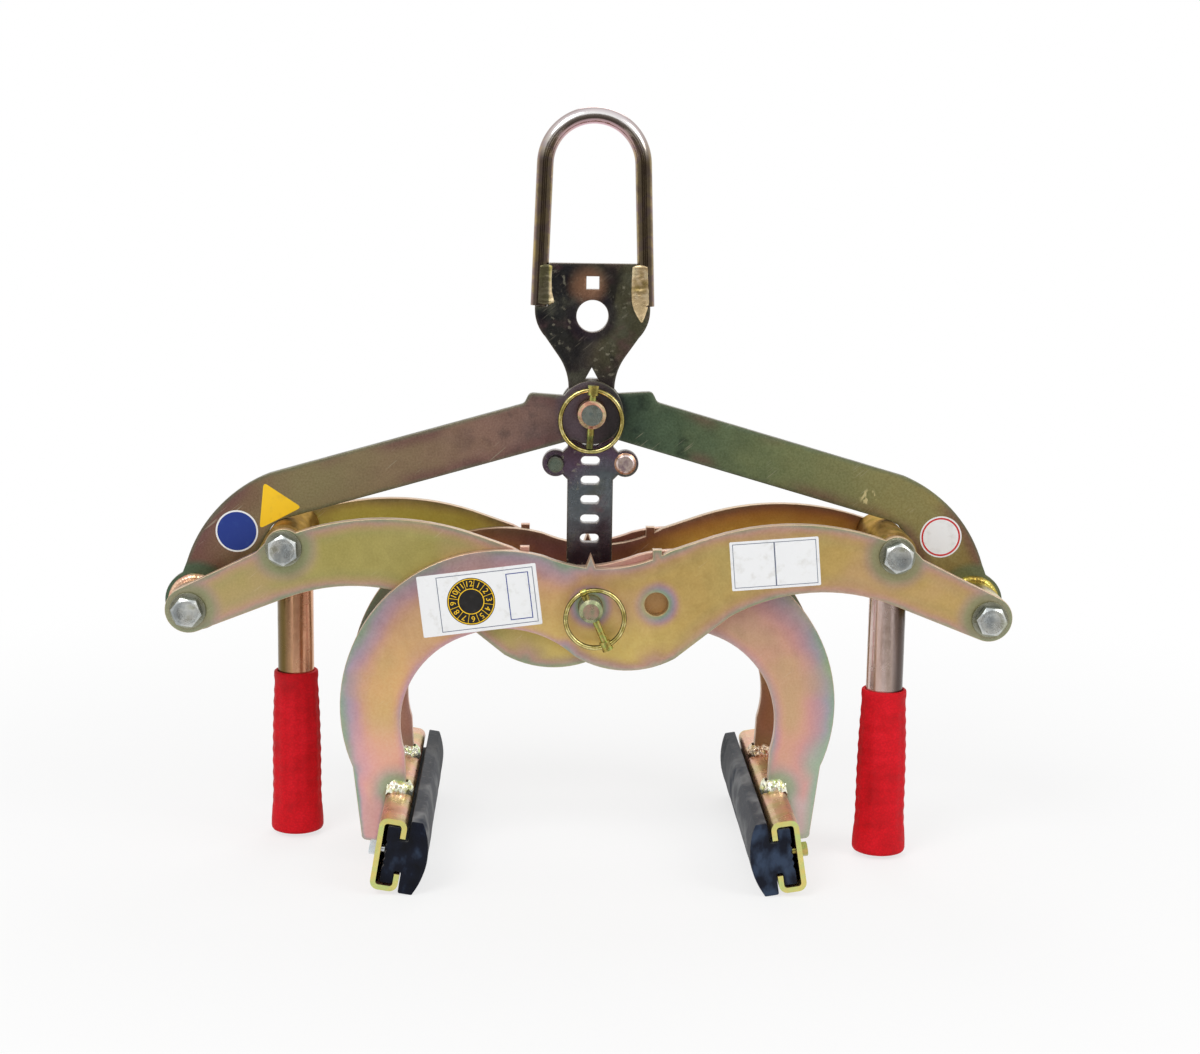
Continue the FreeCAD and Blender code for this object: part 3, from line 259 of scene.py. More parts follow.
def arm_finish(side, sign, inner_face):
    """Yellow-passivated steel: the film runs from gold in the middle of a plate through rose to teal at its edge.
    The face at inner_face, which looks into the tongs, is browner and darker: partly its film, partly painted shade
    between the plates."""
    made = Finish(f"{side}_arm_passivated", Metallic=0.62, Specular_IOR_Level=0.5)
    x = made.times(made.x, sign)
    breadth = made.size(x)
    drift = made.times(made.minus(made.noise(34.0, 3.0), 0.5), 15.0)
    rim = made.over(made.plus(made.attribute("rim"), drift), 34.0)
    bow_film, arch_film = (made.ramp(rim, film) for film in ARM_FILMS[side])
    made.colour = made.mix(made.rise(x, -70.0, 60.0), bow_film, arch_film)
    patches = made.noise(62.0)
    made.tint((224, 174, 156), (patches, 0.50, 0.70, 0.5), (x, 0.0, 90.0, 0.55, 1.0))
    made.tint((200, 186, 118), (patches, 0.48, 0.30, 0.35))
    made.tint((238, 210, 122), (made.z, 226.0, 164.0, 0.8), (breadth, 84.0, 40.0), (rim, 0.25, 0.75))
    made.tint((158, 132, 132), (made.z, 150.0, 240.0, 0.5), (x, -20.0, -90.0))
    if side == "left":
        made.tint((212, 150, 136), (made.z, 232.0, 242.0, 0.8), (breadth, 76.0, 56.0))
    made.tint(SHINS[side], (made.z, KNEES[side], KNEES[side] - 44.0, 0.55), (rim, 0.04, 0.3))
    hole = made.attribute("bore")
    bore = made.times(made.plus(hole, made.times(drift, 0.25)), made.rise(breadth, 120.0, 190.0, 0.66, 1.25))
    reach = made.over(bore, 15.0)
    halo = made.mix(made.rise(breadth, 120.0, 190.0), made.ramp(reach, BY_PIN), made.ramp(reach, BY_BOLT))
    between = made.size(made.minus(x, SECOND_HOLE[0] - 20.0))
    made.tint(halo, (bore, 16.0, 7.0, 0.85), (bore, -1.0, 2.0, 0.9, 0.5), (between, 4.0, 26.0, 1.0, 0.45))
    seat_x, seat_z = in_jaw(6.0, CHANNEL_HALF + 1.0)
    heat = made.plus(made.from_point(seat_x * sign, seat_z), made.times(drift, 0.4))
    made.tint(made.ramp(made.over(heat, 27.0), BY_WELD), (heat, 27.0, 9.0, 0.9))
    made.tint(FEET[side], (made.z, 60.0, 46.0, 0.8), (rim, 0.08, 0.36))
    if side == "left":
        made.tint((172, 190, 168), (rim, 0.62, 0.12, 0.75), (made.z, 112.0, 78.0))
    # The inner face's colour: partly a browner film, partly painted shade, darkest towards the middle of the tongs
    brown = made.mix(made.rise(breadth, 90.0, 30.0), made.ramp(rim, INNER_FILMS_AND_SHADE[side]), (118, 62, 46))
    brown = made.mix(made.rise(made.z, 165.0, 105.0, 0.9), brown, INNER_JAWS[side])
    shoulder = made.where((x, -120.0, -150.0, 0.85), (made.z, 120.0, 170.0))
    brown = made.mix(shoulder, brown, (96, 112, 88))
    made.tint(brown, (made.size(made.minus(made.y, inner_face)), 0.4, 0.1), 0.85)
    if side == "left":
        front = ARM_PLATES[side][0][0]
        shown = made.from_point(*SECOND_HOLE)
        made.tint((208, 162, 102), (shown, 17.0, 13.0, 0.85), (made.y, front + 1.0, front + 0.2))
    # Edge walls: lighter tan on the outline as a painted highlight of lit edges, darker inside the holes as painted
    # shade
    edge = made.mix(made.rise(hole, 0.5, 2.0), (150, 116, 72), (210, 174, 146))
    made.tint(edge, made.attribute("edge"), 0.7)
    made.grained(1.6, 0.55, 172, 208)
    made.scratched(20.0, 0.25, (232, 220, 196))
    height = made.plus(made.times(made.speck, 0.6), made.noise(6.0))
    return made.surface(made.uneven(9.0, 0.44, 0.32), height, 0.05)


# Films from the head of a link to its end, with the tints of its lower rim, its end and the blots at its head
LINK_FILMS = {
    "left": [(0.02, 112, 88, 88), (0.14, 134, 108, 102), (0.26, 156, 124, 110), (0.42, 154, 130, 104),
             (0.68, 152, 140, 102), (0.86, 138, 108, 88), (1.0, 124, 84, 82)],
    "right": [(0.02, 58, 76, 66), (0.22, 92, 112, 86), (0.45, 130, 140, 98), (0.70, 156, 152, 102),
              (0.86, 164, 150, 96), (1.0, 142, 116, 68)],
}
LINK_TINTS = {"left": ((128, 92, 90), (80, 112, 88), (108, 90, 86)),
              "right": ((128, 90, 84), (112, 124, 92), (38, 48, 44))}


def link_finish(side):
    """The links' film is darker: purple-brown near the top of the left one, bottle green on the right one."""
    made = Finish(side + "_link_passivated", Metallic=0.72, Specular_IOR_Level=0.5)
    out = made.over(made.size(made.x), 330.0)
    shift = made.times(made.minus(made.noise(30.0, 3.0), 0.5), 0.22)
    made.colour = made.ramp(made.plus(out, shift), LINK_FILMS[side])
    lower, end, blot = LINK_TINTS[side]
    rim = made.plus(made.attribute("rim"), made.times(shift, 22.0))
    made.tint(lower, (rim, 13.0, 3.0, 0.7), (made.noise(70.0, 1.0), 0.42, 0.6))
    made.tint(blot, (made.noise(17.0, 4.0), 0.48, 0.64, 0.55), (out, 0.42, 0.16))
    made.tint((112, 126, 104), (rim, 4.0, 0.0, 0.6))
    made.tint(end, (made.attribute("bore"), 17.0, 9.0, 0.85), (out, 0.3, 0.6))
    eye = made.plus(made.from_point(*UPPER_PIVOT), made.times(shift, 60.0))
    shade = made.ramp(made.rise(made.x, -12.0, 16.0), [(0.0, 106, 94, 104), (1.0, 50, 52, 56)])
    made.tint(shade, (eye, 32.0, 22.0, 0.85))
    made.tint((92, 86, 68), made.attribute("edge"), 0.8)
    made.grained(1.5, 0.6, 160, 212)
    made.scratched(16.0, 0.45, (196, 190, 166))
    flecks = made.noise(3.4, 2.0, (1.0, 1.0, 0.6))
    made.tint((226, 214, 160), (made.from_point(*SCUFF), 8.0, 4.0), (flecks, 0.54, 0.6))
    height = made.plus(made.times(made.speck, 0.6), made.noise(7.0))
    return made.surface(made.uneven(12.0, 0.42, 0.28), height, 0.05)


def hanger_finish():
    """The suspension plate: a dark, glossy film with violet, green and blue clouds and rubbed spots. Its lower end,
    between the arms, is painted darker as painted shade.
    """
    made = Finish("hanger_passivated", Metallic=0.8, Specular_IOR_Level=0.5)
    cloud = made.noise(40.0, 4.0)
    drift = made.minus(cloud, 0.5)
    climb = made.plus(made.over(made.minus(made.z, 222.0), 250.0), made.times(drift, 0.35))
    # Film by height: the darkest stops, at the lower end, are painted shade between the arms
    made.colour = made.ramp(climb, [
        (0.0, 60, 46, 54), (0.08, 84, 70, 78), (0.18, 124, 132, 140), (0.28, 112, 122, 130), (0.38, 116, 98, 122),
        (0.48, 92, 66, 76), (0.60, 58, 50, 56), (0.78, 84, 82, 72), (1.0, 66, 58, 60)])
    breadth = made.plus(made.x, made.times(drift, 60.0))
    shoulders = made.ramp(made.rise(breadth, -26.0, 26.0), [
        (0.0, 30, 36, 44), (0.4, 88, 82, 76), (0.7, 104, 98, 80), (1.0, 96, 96, 72)])
    made.tint(shoulders, (made.z, 372.0, 398.0, 0.7))
    made.tint((112, 114, 98), (made.noise(24.0, 3.0), 0.52, 0.68, 0.6))
    made.tint((126, 92, 98), (made.noise(30.0, 3.0, (1.0, 1.0, 1.3)), 0.54, 0.7, 0.55))
    # Dark film clouds, weighted towards the lower end as painted shade
    dark = made.noise(27.0, 3.0, (1.2, 1.0, 0.8))
    made.tint((30, 28, 36), (dark, 0.46, 0.34, 0.75), (made.z, 300.0, 360.0, 1.0, 0.35))
    worn = made.plus(made.from_point(0.0, HOOK_HOLE_Z), made.times(cloud, 6.0))
    made.tint((46, 42, 54), (worn, 26.0, 19.0, 0.7))
    square = made.plus(made.from_point(*SQUARE_GLOW), made.times(cloud, 10.0))
    made.tint((176, 132, 104), (square, 24.0, 10.0, 0.75))
    rubbed = made.where((made.noise(4.0, 3.0), 0.58, 0.7, 0.6), (made.noise(40.0, 1.0), 0.46, 0.6))
    made.tint((168, 164, 146), rubbed)
    made.tint((86, 84, 74), (made.attribute("rim"), 3.0, 0.0, 0.5))
    made.tint((120, 106, 92), made.attribute("edge"), 0.6)
    made.grained(1.5, 0.6, 150, 216)
    made.scratched(14.0, 0.5, (170, 164, 150))
    rough = made.plus(made.uneven(14.0, 0.3, 0.18), made.times(rubbed, 0.2))
    return made.surface(rough, made.noise(5.0, 3.0), 0.05)


def section_finish(name, stops, rough, size=24.0, stretch=None, metallic=0.85, grain=0.5):
    """Passivated bar, tube and channel: a film that changes in clouds and streaks."""
    made = Finish(name, Metallic=metallic, Specular_IOR_Level=0.5)
    made.colour = made.ramp(made.rise(made.noise(size, 3.0, stretch), 0.28, 0.72), stops)
    made.grained(1.4, grain, 164, 210)
    made.scratched(14.0, 0.4, (224, 212, 184))
    made.rough = made.uneven(8.0, rough + 0.08, rough - 0.05)
    return made


def channel_finish():
    made = section_finish("channel_passivated", [
        (0.0, 198, 146, 118), (0.35, 218, 166, 136), (0.65, 208, 170, 122), (1.0, 190, 168, 110)], 0.3, 30.0)
    cut = made.ramp(made.noise(9.0), [(0.35, 228, 208, 124), (0.65, 200, 212, 134)])
    made.tint(cut, (made.size(made.y), CHANNEL_END - 0.8, CHANNEL_END - 0.2))
    return made.surface(made.rough, made.speck, 0.04)


def tube_finish(name, stops, outer_shade):
    """A handle tube: drawing streaks along it, and painted shade on its outer side."""
    made = section_finish(name, stops, 0.2, 9.0, (1.0, 1.0, 0.06))
    # Painted shade: the tube's outer side is darker
    made.tint(outer_shade, (made.minus(made.size(made.x), HANDLE_PIN[0]), -2.0, 9.0, 0.9))
    return made.surface(made.rough, made.speck, 0.03)


def hub_finish(name, stops, rough=0.24, flank=(255, 255, 255)):
    """Flank is the tint of the sheen where the surface turns away."""
    made = section_finish(name, stops, rough, 16.0, (1.0, 0.5, 1.0))
    made.feed(made.shader.inputs["Specular Tint"], flank)
    return made.surface(made.rough, made.speck, 0.03)


def bail_finish():
    """The bail's bar: dark and shiny, olive to violet, with painted reflections: darker where it faces front and back,
    and painted bands of highlight and shade round the crown.
    """
    made = section_finish("bail_passivated", [
        (0.0, 120, 102, 90), (0.35, 160, 142, 104), (0.65, 140, 118, 116), (1.0, 180, 158, 104)],
        0.11, 18.0, metallic=0.97)
    # Painted reflection: faces turned to front and back are darkened, below the crown
    made.tint((56, 48, 40), (made.facing("Y"), 0.5, 0.85, 0.85), (made.z, 572.0, 545.0))
    # Painted highlight and shade: bands across the crown's bar, by distance from its centre
    ring = made.over(made.minus(made.from_point(0.0, CROWN_Z), CROWN_INNER), CROWN_BAR)
    crown = made.ramp(ring, [
        (0.0, 226, 186, 196), (0.2, 188, 156, 162), (0.36, 100, 92, 90), (0.48, 150, 142, 140),
        (0.62, 244, 242, 242), (0.84, 214, 204, 206), (1.0, 150, 126, 122)])
    made.tint(crown, (made.z, 545.0, 576.0, 0.9))
    return made.surface(made.rough, made.speck, 0.03)


def zinc_finish():
    """Bright bolts and nuts, with the washers' rims yellower, and painted shade on the sides that do not face along y.
    """
    made = section_finish("bright_zinc", [
        (0.0, 150, 156, 158), (0.4, 186, 190, 188), (0.7, 204, 206, 202), (1.0, 176, 178, 160)], 0.27, 12.0, grain=0.6)
    # Painted shade: surfaces that do not face along y, such as the sides of heads and nuts, are darker
    made.tint((96, 104, 94), (made.facing("Y"), 0.7, 0.3, 0.7))
    plate_face = made.rise(made.x, -1.0, 1.0, ARM_PLATES["right"][0][0], ARM_PLATES["left"][0][0])
    made.tint((134, 134, 104), (made.minus(made.y, plate_face), -2.62, -2.48), (made.y, 0.0, -20.0, 0.75))
    return made.surface(made.rough, made.plus(made.speck, made.noise(4.0)), 0.08)


def pin_finish(name, axis, core, core_radius, shell, rough=0.26):
    """A turned pin: its end has one tint, its chamfer and side another."""
    made = section_finish(name, shell, rough, 9.0)
    made.tint(made.ramp(made.noise(6.0, 3.0), core), (made.from_point(*axis), core_radius, core_radius - 0.8))
    lathe = made.node("ShaderNodeTexWave", {"Vector": made.place, "Scale": 420.0, "Distortion": 1.5},
                      wave_type="RINGS", rings_direction="Y").outputs["Fac"]
    return made.surface(made.rough, made.plus(made.speck, made.times(lathe, 0.5)), 0.05)


def linch_finish():
    """The upper linch pin's tail, below its pivot pin, is painted darker: painted shade where it runs between the
    plates.
    """
    made = section_finish("linch_passivated", [
        (0.0, 138, 126, 66), (0.4, 178, 160, 84), (0.7, 160, 176, 96), (1.0, 196, 172, 104)], 0.24, 8.0)
    # Painted shade on the tail between the plates
    made.tint((70, 72, 44), (made.z, 338.0, 334.0), (made.z, 300.0, 310.0), 0.75)
    return made.surface(made.rough, made.speck, 0.04)


def ring_finish():
    made = section_finish("ring_passivated", [
        (0.0, 156, 142, 76), (0.35, 194, 178, 102), (0.65, 232, 218, 152), (1.0, 180, 174, 104)], 0.14, 9.0)
    # Painted shade: the wire's flanks, turned away from y, are darker
    made.tint((66, 58, 26), (made.facing("Y"), 0.9, 0.6, 0.9))
    return made.surface(made.rough, made.speck, 0.02)


def weld_finish(name, stops):
    made = section_finish(name, stops, 0.2, 6.0)
    return made.surface(made.rough, made.noise(3.4, 3.0), 0.2)


def bail_weld_finish():
    """Smoky on the left front bead, bright at the foot of the right ones."""
    made = section_finish("bail_weld_bead", [
        (0.0, 150, 130, 78), (0.35, 194, 170, 130), (0.65, 214, 196, 160), (1.0, 172, 160, 92)], 0.3, 12.0)
    made.tint((76, 74, 58), (made.x, -33.0, -35.0, 0.9), (made.y, 0.0, -1.0))
    made.tint((250, 224, 178), (made.x, 0.0, 1.0), (made.z, 446.0, 436.0, 0.7))
    return made.surface(made.rough, made.noise(5.0, 3.0), 0.2)


def rubber_finish():
    """The jaw pads: black rubber, grey with dust on the gripping side, blue-black and smeared where it was cut."""
    made = Finish("pad_rubber_worn", Specular_IOR_Level=0.22)
    dust = made.noise(38.0, 3.0, (1.0, 0.7, 1.0))
    made.colour = made.ramp(dust, [(0.34, 36, 40, 48), (0.45, 66, 69, 75), (0.56, 124, 126, 128), (0.68, 60, 65, 74)])
    made.tint((36, 40, 45), (made.y, 10.0, 120.0, 0.8))
    smear = made.plus(made.noise(11.0, 4.0, (1.0, 1.0, 0.6)), made.rise(made.x, -60.0, 60.0, 0.09, -0.04))
    cut = made.rise(made.size(made.y), CHANNEL_END - 1.6, CHANNEL_END - 0.4)
    made.tint(made.ramp(smear, [(0.32, 2, 4, 14), (0.52, 10, 16, 32), (0.72, 50, 64, 86)]), cut)
    made.tint((128, 126, 120), (made.noise(3.0, 3.0), 0.56, 0.72, 0.3), (cut, 1.0, 0.0))
    height = made.plus(made.noise(2.0, 3.0), made.noise(14.0))
    return made.surface(made.rise(dust, 0.3, 0.7, 0.82, 0.55), height, 0.16)


def grip_finish():
    """Dipped red plastic: matt, with a leathery skin."""
    made = Finish("grip_red", Specular_IOR_Level=0.2)
    cloud = made.noise(16.0, 3.0)
    made.colour = made.ramp(cloud, [(0.25, 186, 8, 22), (0.5, 212, 12, 28), (0.75, 224, 22, 38)])
    skin = made.node("ShaderNodeTexVoronoi", {"Vector": made.place, "Scale": 1000.0 / 1.7}).outputs["Distance"]
    made.tint((150, 8, 20), (skin, 0.3, 0.7, 0.25))
    return made.surface(made.rise(cloud, 0.3, 0.7, 0.72, 0.58), made.plus(skin, made.noise(0.9)), 0.10)


def sticker_finish(name, colour, worn):
    made = Finish(name, Specular_IOR_Level=0.45)
    made.colour = made.mix(made.rise(made.noise(7.0, 4.0), 0.52, 0.8, 0.55), colour, worn)
    return made.surface(made.uneven(4.0, 0.5, 0.32, 2.0), made.noise(3.0), 0.01)


def in_jaw(depth, rise):
    """A point of the left jaw in x and z: depth inwards from the web's outer face, rise from the web's middle."""
    lean, stand = math.sin(JAW_TILT), math.cos(JAW_TILT)
    return (depth * stand + rise * lean - JAW_REACH,
            LOWER_PIVOT[1] - JAW_DROP + rise * stand - depth * lean)


def turns(count):
    """The angles of that many points round a circle."""
    return [2 * math.pi * index / count for index in range(count)]


def circle(centre, radius, count=48):
    return np.array([(centre[0] + radius * math.cos(angle), centre[1] + radius * math.sin(angle))
                     for angle in turns(count)])


def signed_area(loop):
    ahead = np.roll(loop, -1, axis=0)
    return 0.5 * float(np.sum(loop[:, 0] * ahead[:, 1] - ahead[:, 0] * loop[:, 1]))


def outline_of(node):
    """The loops of a plate's front face in x and z: the outline anticlockwise, the holes clockwise."""
    mesh = NODES[node].data
    places = np.array([v.co for v in mesh.vertices]) / MM
    front = places[:, 1].min()
    def key(index):
        return (round(places[index, 0], 3), round(places[index, 2], 3))
    edges = set()
    for face in mesh.polygons:
        corners = list(face.vertices)
        if all(abs(places[c, 1] - front) < 0.002 for c in corners):
            edges.update((key(start), key(end)) for start, end in zip(corners, corners[1:] + corners[:1]))
    ahead = {start: end for start, end in edges if (end, start) not in edges}
    loops = []
    while ahead:
        start, here = next(iter(ahead.items()))
        del ahead[start]
        loop = [start]
        while here != start:
            loop.append(here)
            here = ahead.pop(here)
        loops.append(np.array([p for i, p in enumerate(loop) if math.dist(p, loop[i - 1]) > 0.08]))
    loops.sort(key=lambda loop: -abs(signed_area(loop)))
    if signed_area(loops[0]) < 0:
        loops = [loop[::-1] for loop in loops]
    return loops


def divided(loop, step):
    """The loop with points added so that none are further apart than step."""
    points = []
    for start, end in zip(loop, np.roll(loop, -1, axis=0)):
        parts = max(1, int(math.ceil(np.linalg.norm(end - start) / step)))
        points.extend(start + (end - start) * part / parts for part in range(parts))
    return np.array(points)


LEAST_TURN = 0.35


def rounded(loop, radius, below=math.inf):
    """The loop with its sharp corners rounded, where they lie below a height."""
    points = []
    count = len(loop)
    for index in range(count):
        back, here, ahead = loop[index - 1], loop[index], loop[(index + 1) % count]
        before, after = here - back, ahead - here
        turn = math.atan2(before[0] * after[1] - before[1] * after[0], float(before @ after))
        if abs(turn) < LEAST_TURN or here[1] > below:
            points.append(here)
            continue
        reach = min(radius * math.tan(abs(turn) / 2), np.linalg.norm(before) * 0.45, np.linalg.norm(after) * 0.45)
        start = here - before / np.linalg.norm(before) * reach
        end = here + after / np.linalg.norm(after) * reach
        for part in np.linspace(0.0, 1.0, 6):
            points.append((1 - part) ** 2 * start + 2 * part * (1 - part) * here + part ** 2 * end)
    return np.array(points)


def drawn_in(loop, distance):
    """The loop moved into the material, which lies on its left."""
    before = loop - np.roll(loop, 1, axis=0)
    after = np.roll(loop, -1, axis=0) - loop
    before /= np.linalg.norm(before, axis=1)[:, None]
    after /= np.linalg.norm(after, axis=1)[:, None]
    left = np.stack([-(before[:, 1] + after[:, 1]), before[:, 0] + after[:, 0]], axis=1)
    size = np.linalg.norm(left, axis=1)[:, None]
    half_turn = np.clip(size / 2.0, 0.5, 1.0)
    return loop + left / size * distance / half_turn


def inside(points, loops):
    within = np.zeros(len(points), bool)
    for loop in loops:
        for (ax, az), (bx, bz) in zip(loop, np.roll(loop, -1, axis=0)):
            if az == bz:
                continue
            crosses = (points[:, 1] < az) != (points[:, 1] < bz)
            within ^= crosses & (points[:, 0] < (bx - ax) * (points[:, 1] - az) / (bz - az) + ax)
    return within


def nearest(points, samples):
    """How far each point is from the nearest sample."""
    tree = kdtree.KDTree(len(samples))
    for index, (x, z) in enumerate(samples):
        tree.insert((x, z, 0.0), index)
    tree.balance()
    return np.array([tree.find((x, z, 0.0))[2] for x, z in points])


def distance_to(points, loops):
    """How far each point is from the nearest of the loops."""
    samples = [p for loop in loops for p in divided(loop, 0.7)]
    return nearest(points, samples) if samples else np.full(len(points), 1000.0)


SLIVER = 0.01


def within_border(made, triangles, origin, border, loops):
    """The triangles inside the loops. Triangles that meet across an edge other than the border go together, and the
    largest of them decides, so that thin ones along a straight border are not kept on its wrong side."""
    new_index = {source: index for index, sources in enumerate(origin) for source in sources}
    fence = {frozenset((new_index[a], new_index[b])) for a, b in border}
    leader = list(range(len(triangles)))

    def find(index):
        while leader[index] != index:
            leader[index] = leader[leader[index]]
            index = leader[index]
        return index

    met = {}
    for index, corners in enumerate(triangles):
        for start, end in zip(corners, corners[1:] + corners[:1]):
            side = frozenset((start, end))
            if side in fence:
                continue
            if side in met:
                leader[find(index)] = find(met[side])
            met[side] = index
    groups = {}
    for index, corners in enumerate(triangles):
        a, b, c = (made[corner] for corner in corners)
        size = abs((b - a).cross(c - a))
        best = groups.get(find(index))
        if best is None or size > best[0]:
            groups[find(index)] = (size, (a + b + c) / 3)
    names = list(groups)
    chosen = inside(np.array([groups[name][1] for name in names]), loops)
    good = {name for name, within in zip(names, chosen) if within and groups[name][0] > SLIVER}
    return [corners for index, corners in enumerate(triangles) if find(index) in good]


def closed_mesh(name, points, faces, sharp):
    """A closed mesh with its faces turned outwards, smooth between edges sharper than so many degrees."""
    mesh = bpy.data.meshes.new(name)
    mesh.from_pydata([(x * MM, y * MM, z * MM) for x, y, z in points], [], faces)
    mesh.validate()
    work = bmesh.new()
    work.from_mesh(mesh)
    bmesh.ops.recalc_face_normals(work, faces=work.faces)
    work.to_mesh(mesh)
    work.free()
    mesh.polygons.foreach_set("use_smooth", [True] * len(mesh.polygons))
    mesh.set_sharp_from_angle(angle=math.radians(sharp))
    return mesh


def slab(name, loops, front, back, rounding, grid, layers=(), wide=None, plain=None):
    """A plate or bar with rounded rims and an even inner mesh. Its points carry how far they are from the outline
    (rim), from a hole (bore), and whether they are on the narrow side (edge). Where wide picks a stretch of the
    outline, the film's bands are broad along it and narrow along the rest, and plain picks a stretch without them."""
    loops = [divided(loop, grid) for loop in loops]
    profile = []
    for angle in (math.radians(degrees) for degrees in (0.0, 30.0, 60.0, 90.0)):
        profile.append((rounding * (1 - math.sin(angle)), rounding * (1 - math.cos(angle))))
    rings = [(inset, front + drop) for inset, drop in profile]
    rings += [(0.0, y) for y in layers]
    rings += [(inset, back - drop) for inset, drop in reversed(profile)]
    points, starts = [], []
    for inset, y in rings:
        starts.append(len(points))
        for loop in loops:
            points.extend((x, y, z) for x, z in drawn_in(loop, inset))
    ring_size = sum(len(loop) for loop in loops)
    rim_points = np.array(points[:ring_size])[:, [0, 2]]
    border, cap_loops = [], []
    for loop in loops:
        first, count = len(border), len(loop)
        border.extend((first + i, first + (i + 1) % count) for i in range(count))
        cap_loops.append(rim_points[first:first + count])
    faces = [(near + a, far + a, far + b, near + b) for near, far in zip(starts, starts[1:]) for a, b in border]
    low, high = rim_points.min(0), rim_points.max(0)
    rows = []
    for row, z in enumerate(np.arange(low[1], high[1], grid * 0.866)):
        shift = grid * 0.5 * (row % 2)
        rows.extend((x + shift, z) for x in np.arange(low[0], high[0], grid))
    field = np.array(rows)
    field = field[inside(field, cap_loops)]
    field = field[distance_to(field, cap_loops) > grid * 0.55]
    plane = [Vector(p) for p in rim_points] + [Vector(p) for p in field]
    made, _, triangles, origin, _, _ = geometry.delaunay_2d_cdt(plane, border, [], 0, 1e-5)
    kept = within_border(made, triangles, origin, border, cap_loops)
    for cap_start, y, turn in ((starts[0], front, 1), (starts[-1], back, -1)):
        place = {}
        for index, (source, *_) in enumerate(origin):
            if source < ring_size:
                place[index] = cap_start + source
            else:
                place[index] = len(points)
                points.append((plane[source][0], y, plane[source][1]))
        faces.extend(tuple(place[c] for c in t[::turn]) for t in kept)
    mesh = closed_mesh(name, points, faces, 38.0)
    flat = np.array([(p[0], p[2]) for p in points])
    if wide is None:
        rim = distance_to(flat, loops[:1])
    else:
        broad = [p for p in loops[0] if wide(*p)]
        narrow = [p for p in loops[0] if not wide(*p) and not plain(*p)]
        bare = [p for p in loops[0] if plain(*p)]
        rim = np.minimum(nearest(flat, broad), nearest(flat, narrow) * 2.1)
        rim = np.minimum(rim, nearest(flat, bare) * 2.5 + 9.0)
    edge = np.ones(len(points))
    edge[starts[0]:starts[0] + ring_size] = 0.0
    edge[starts[-1]:] = 0.0
    for label, values in (("rim", rim), ("bore", distance_to(flat, loops[1:])), ("edge", edge)):
        mesh.attributes.new(label, "FLOAT", "POINT").data.foreach_set("value", values.astype(np.float32))
    return link_object(name, mesh)


def lofted(name, rings, endless=False, sharp=50.0):
    """A skin over rings of points, each ring with as many points as the next; endless joins the last to the first."""
    count = len(rings[0])
    points = [p for ring in rings for p in ring]
    faces = []
    for row in range(len(rings) if endless else len(rings) - 1):
        here, ahead = row * count, (row + 1) % len(rings) * count
        for index in range(count):
            following = (index + 1) % count
            faces.append((here + index, here + following, ahead + following, ahead + index))
    if not endless:
        faces.append(tuple(range(count))[::-1])
        faces.append(tuple(range(len(points) - count, len(points))))
    return link_object(name, closed_mesh(name, points, faces, sharp))


BEAD_SIDES = 12


def bead(name, rails, height, seed, ripple=2.6, lumpy=0.28, tail=0.5, stray=0.12):
    """A weld bead lying between two rails, swollen outwards, with the ripples that its puddle left. Rails holds a
    point of the one rail, a point of the other and the way outwards, for each station."""
    rail_a, rail_b, out = (np.array(points, float) for points in zip(*rails))
    run = np.concatenate([[0.0], np.cumsum(np.linalg.norm(np.diff((rail_a + rail_b) / 2, axis=0), axis=1))])
    steps = np.linspace(0.0, run[-1], max(8, int(run[-1] / 0.55)))
    def along(values):
        return np.stack([np.interp(steps, run, values[:, axis]) for axis in range(3)], axis=1)
    rail_a, rail_b, out = along(rail_a), along(rail_b), along(out)
    out /= np.linalg.norm(out, axis=1)[:, None]
    rings = []
    for s, a, b, o in zip(steps, rail_a, rail_b, out):
        ends = min(s, run[-1] - s)
        taper = math.sqrt(min(1.0, (ends + 0.15) / (tail * np.linalg.norm(b - a) + 0.5)))
        wander = noise.noise(Vector((s * 0.35, seed * 7.3, 0.0)))
        wave = 0.5 + 0.5 * math.cos(2 * math.pi * (s / ripple + 0.6 * noise.noise(Vector((s * 0.2, seed, 3.0)))))
        middle = (a + b) / 2
        ring = []
        for part in range(BEAD_SIDES + 1):
            t = part / BEAD_SIDES
            lump = noise.noise(Vector((s * 0.5, t * 3.0, seed * 3.1)))
            flat = middle + ((b - a) * (t - 0.5)) * (taper * (1.0 + stray * wander))
            uneven = 0.80 + 0.22 * wave + lumpy * lump + 0.7 * lumpy * wander
            swell = height * taper * math.sin(math.pi * t) ** 0.7 * uneven
            ring.append(flat + o * swell)
        ring.append(middle - o * taper + (b - a) * 0.25)
        ring.append(middle - o * taper - (b - a) * 0.25)
        rings.append(ring)
    return lofted(name, rings)


def dress(piece, body, material):
    piece.data.materials.clear()
    piece.data.materials.append(material)
    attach(piece, body)


# The camera stands where the photograph was taken
PITCH, YAW, ROLL = math.radians(9.74), math.radians(1.82), math.radians(0.86)
CAMERA_PLACE = (-0.0438, -1.64417, 0.54256)
ahead = Vector((math.sin(YAW) * math.cos(PITCH), math.cos(YAW) * math.cos(PITCH), -math.sin(PITCH)))
level_right = Vector((math.cos(YAW), -math.sin(YAW), 0.0))
level_down = ahead.cross(level_right)
right = level_right * math.cos(ROLL) - level_down * math.sin(ROLL)
down = level_right * math.sin(ROLL) + level_down * math.cos(ROLL)
lens = bpy.data.cameras.new("camera")
lens.sensor_fit = "HORIZONTAL"
lens.sensor_width = 36.0
lens.lens = 63.0
lens.clip_end = 100.0
camera = link_object("camera", lens)
camera.matrix_world = Matrix.Translation(CAMERA_PLACE) @ Matrix((right, -down, -ahead)).transposed().to_4x4()
bpy.context.scene.camera = camera
bpy.context.scene.view_settings.view_transform = "Standard"

# Plates: the CAD outlines with rounded rims and a mesh fine enough to carry the film's bands
PLATE_RIM, PLATE_GRID = 0.55, 3.0


def depth_of(node):
    """Where a node starts and ends along y."""
    low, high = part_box(node)
    return low.y / MM, high.y / MM


